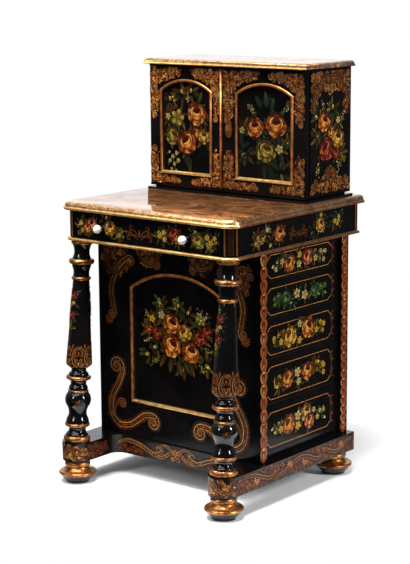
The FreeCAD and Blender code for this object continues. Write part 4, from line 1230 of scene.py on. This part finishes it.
def rosette(painting, centre, size):
    """A dark gilt rosette of worn tongues about a ringed eye."""
    painting.comma((centre[0] - size, centre[1]), 0, size * 2, size * 1.9, GILT_GROUND,
                   fullness=0.55, tones=(0.1, 0.5, 0.6, 0.5, 0.1))
    for angle in painting.side_by_side(range(0, 360, 30)):
        painting.comma(polar(centre, angle, size * 0.35), angle, size * 0.62, size * 0.26,
                       GILT_WORN, bend=40, tones=(0.2, 0.8, 0.3))
    painting.crescent(centre, size * 0.34, 0, 359, size * 0.14, GILT_LINE, tones=(0.3, 0.8, 0.3))
    painting.dot(centre, size * 0.3, GILT_LINE, 0.9)


def door_corners(painting, edge, arch, crown):
    """Gilt foliage in one upper and one lower corner of a door: edge and arch are the outer
    edge and the near side of the arched panel, crown is the panel's middle."""
    hand = 1 if crown > edge else -1
    gap = crown - hand * 17
    for wind, seed, outline, curls in (
            (hand, 5, [(edge, 1098), (gap, 1098), (gap - hand * 4, 1082),
                       (arch + hand * 34, 1071), (arch - hand * 3, 1052), (arch - hand * 5, 990),
                       ((edge + arch) / 2, 968), (edge, 984)],
             ((gap - hand * 12, 1084, 150, 9), (arch + hand * 26, 1080, 20, 8),
              (edge + hand * 10, 1062, 250, 9), (edge + hand * 14, 1020, 80, 8),
              (edge + hand * 12, 994, 260, 7))),
            (-hand, 6, [(edge, 785), (crown - hand * 26, 785), (crown - hand * 24, 796),
                        (crown - hand * 38, 805), (arch, 806), (arch - hand * 4, 816),
                        (arch - hand * 5, 872), ((edge + arch) / 2, 888), (edge, 876)],
             ((crown - hand * 52, 789, 10, 6), (arch + hand * 4, 793, 180, 8),
              (edge + hand * 10, 822, 100, 8), (edge + hand * 14, 862, 240, 7)))):
        thicket(painting, outline, 6.2, 0.85)
        for x, z, heading, size in curls:
            scroll(painting, curl((x, z), 90 - hand * (90 - heading), (26, -wind, wind)), 7, seed,
                   0.95, (0, wind * size))


# Painted light and shade: the left door's foliage is painted lighter (1.45) and the right door's
# darker (0.85), from the same gilt.
for hinge_side, light, seed, edge_out, arch_out, arch_in, edge_in in (
        ("left", 1.45, 61, -259, -228, -42, -22), ("right", 0.85, 62, 259, 228, 34, -4)):
    crown = (arch_out + arch_in) / 2
    corners = Painting(front_face(hinge_side + "_door_frame"), seed, light)
    door_corners(corners, edge_out, arch_out, crown)
    door_corners(corners, edge_in, arch_in, crown)
    if hinge_side == "right":
        rosette(corners, (13, 945), 14)
        fan(corners, (13, 956), 90, 14, palette=GILT_WORN)
        fan(corners, (13, 934), -90, 14, palette=GILT_WORN)
    corners.finish(hinge_side + "_door_foliage", hinge_side + "_door_frame")

# Painted shade: the left door's flowers are painted darker, at 0.66.
left_flowers = Painting(front_face("left_door_panel"), 63, light=0.66)
bouquet(left_flowers, (-134, 920), (
    (bud, -190, 1010, 15), (bud, -152, 1030, 15), (bud, -122, 1034, 14, ROSE),
    (blossom, -202, 968, 9, CREAM), (blossom, -168, 966, 22, OLIVE, RED), (rose, -100, 978, 30),
    (rose, -184, 914, 24, OLIVE, UMBER), (rose, -76, 918, 19, AMBER, UMBER),
    (rose, -104, 926, 14), (rose, -134, 900, 31)),
    (((-172, 990), 110, 40, YELLOW), ((-130, 1000), 96, 40, CREAM)), leaves=5, leaf_length=28,
    green=BROWN)
for x, z in ((-198, 870), (-186, 858), (-172, 868), (-196, 846), (-180, 838), (-190, 824),
             (-166, 848), (-174, 820)):
    leaf(left_flowers, (x, z), left_flowers.chance.uniform(200, 300), 16)
    blossom(left_flowers, (x, z), left_flowers.chance.uniform(4, 6.5), CREAM)
for x, z, heading, length in ((-128, 862, -96, 44), (-140, 866, -84, 38), (-96, 1008, 50, 34),
                              (-70, 960, 20, 24)):
    leaf(left_flowers, (x, z), heading, length)
left_flowers.finish("left_door_flowers", "left_door_panel")

# Painted shade: the right door's flowers are painted darker still, at 0.56.
right_flowers = Painting(front_face("right_door_panel"), 64, light=0.56)
bouquet(right_flowers, (134, 924), (
    (rose, 98, 952, 26), (rose, 166, 962, 31), (rose, 134, 892, 30, OLIVE, UMBER),
    (blossom, 54, 944, 9, CREAM), (blossom, 204, 918, 11, BLUE), (bud, 182, 836, 20, BROWN),
    (bud, 66, 884, 18, BLUE), (blossom, 178, 900, 12, CREAM)), (
    ((100, 984), 118, 34, YELLOW), ((92, 980), 100, 38, CREAM), ((188, 990), 48, 40, CREAM),
    ((150, 1000), 84, 36, BLUE), ((76, 892), -120, 48, BLUE), ((200, 880), -60, 44, BLUE)),
    leaves=5, leaf_length=30, green=BLUE)
for x, z, heading, length in ((120, 1004, 110, 40), (136, 1006, 84, 44), (150, 1000, 62, 36),
                              (128, 858, -100, 40), (140, 858, -74, 40), (80, 910, 190, 30),
                              (196, 950, 0, 28)):
    leaf(right_flowers, (x, z), heading, length, BLUE)
right_flowers.finish("right_door_flowers", "right_door_panel")
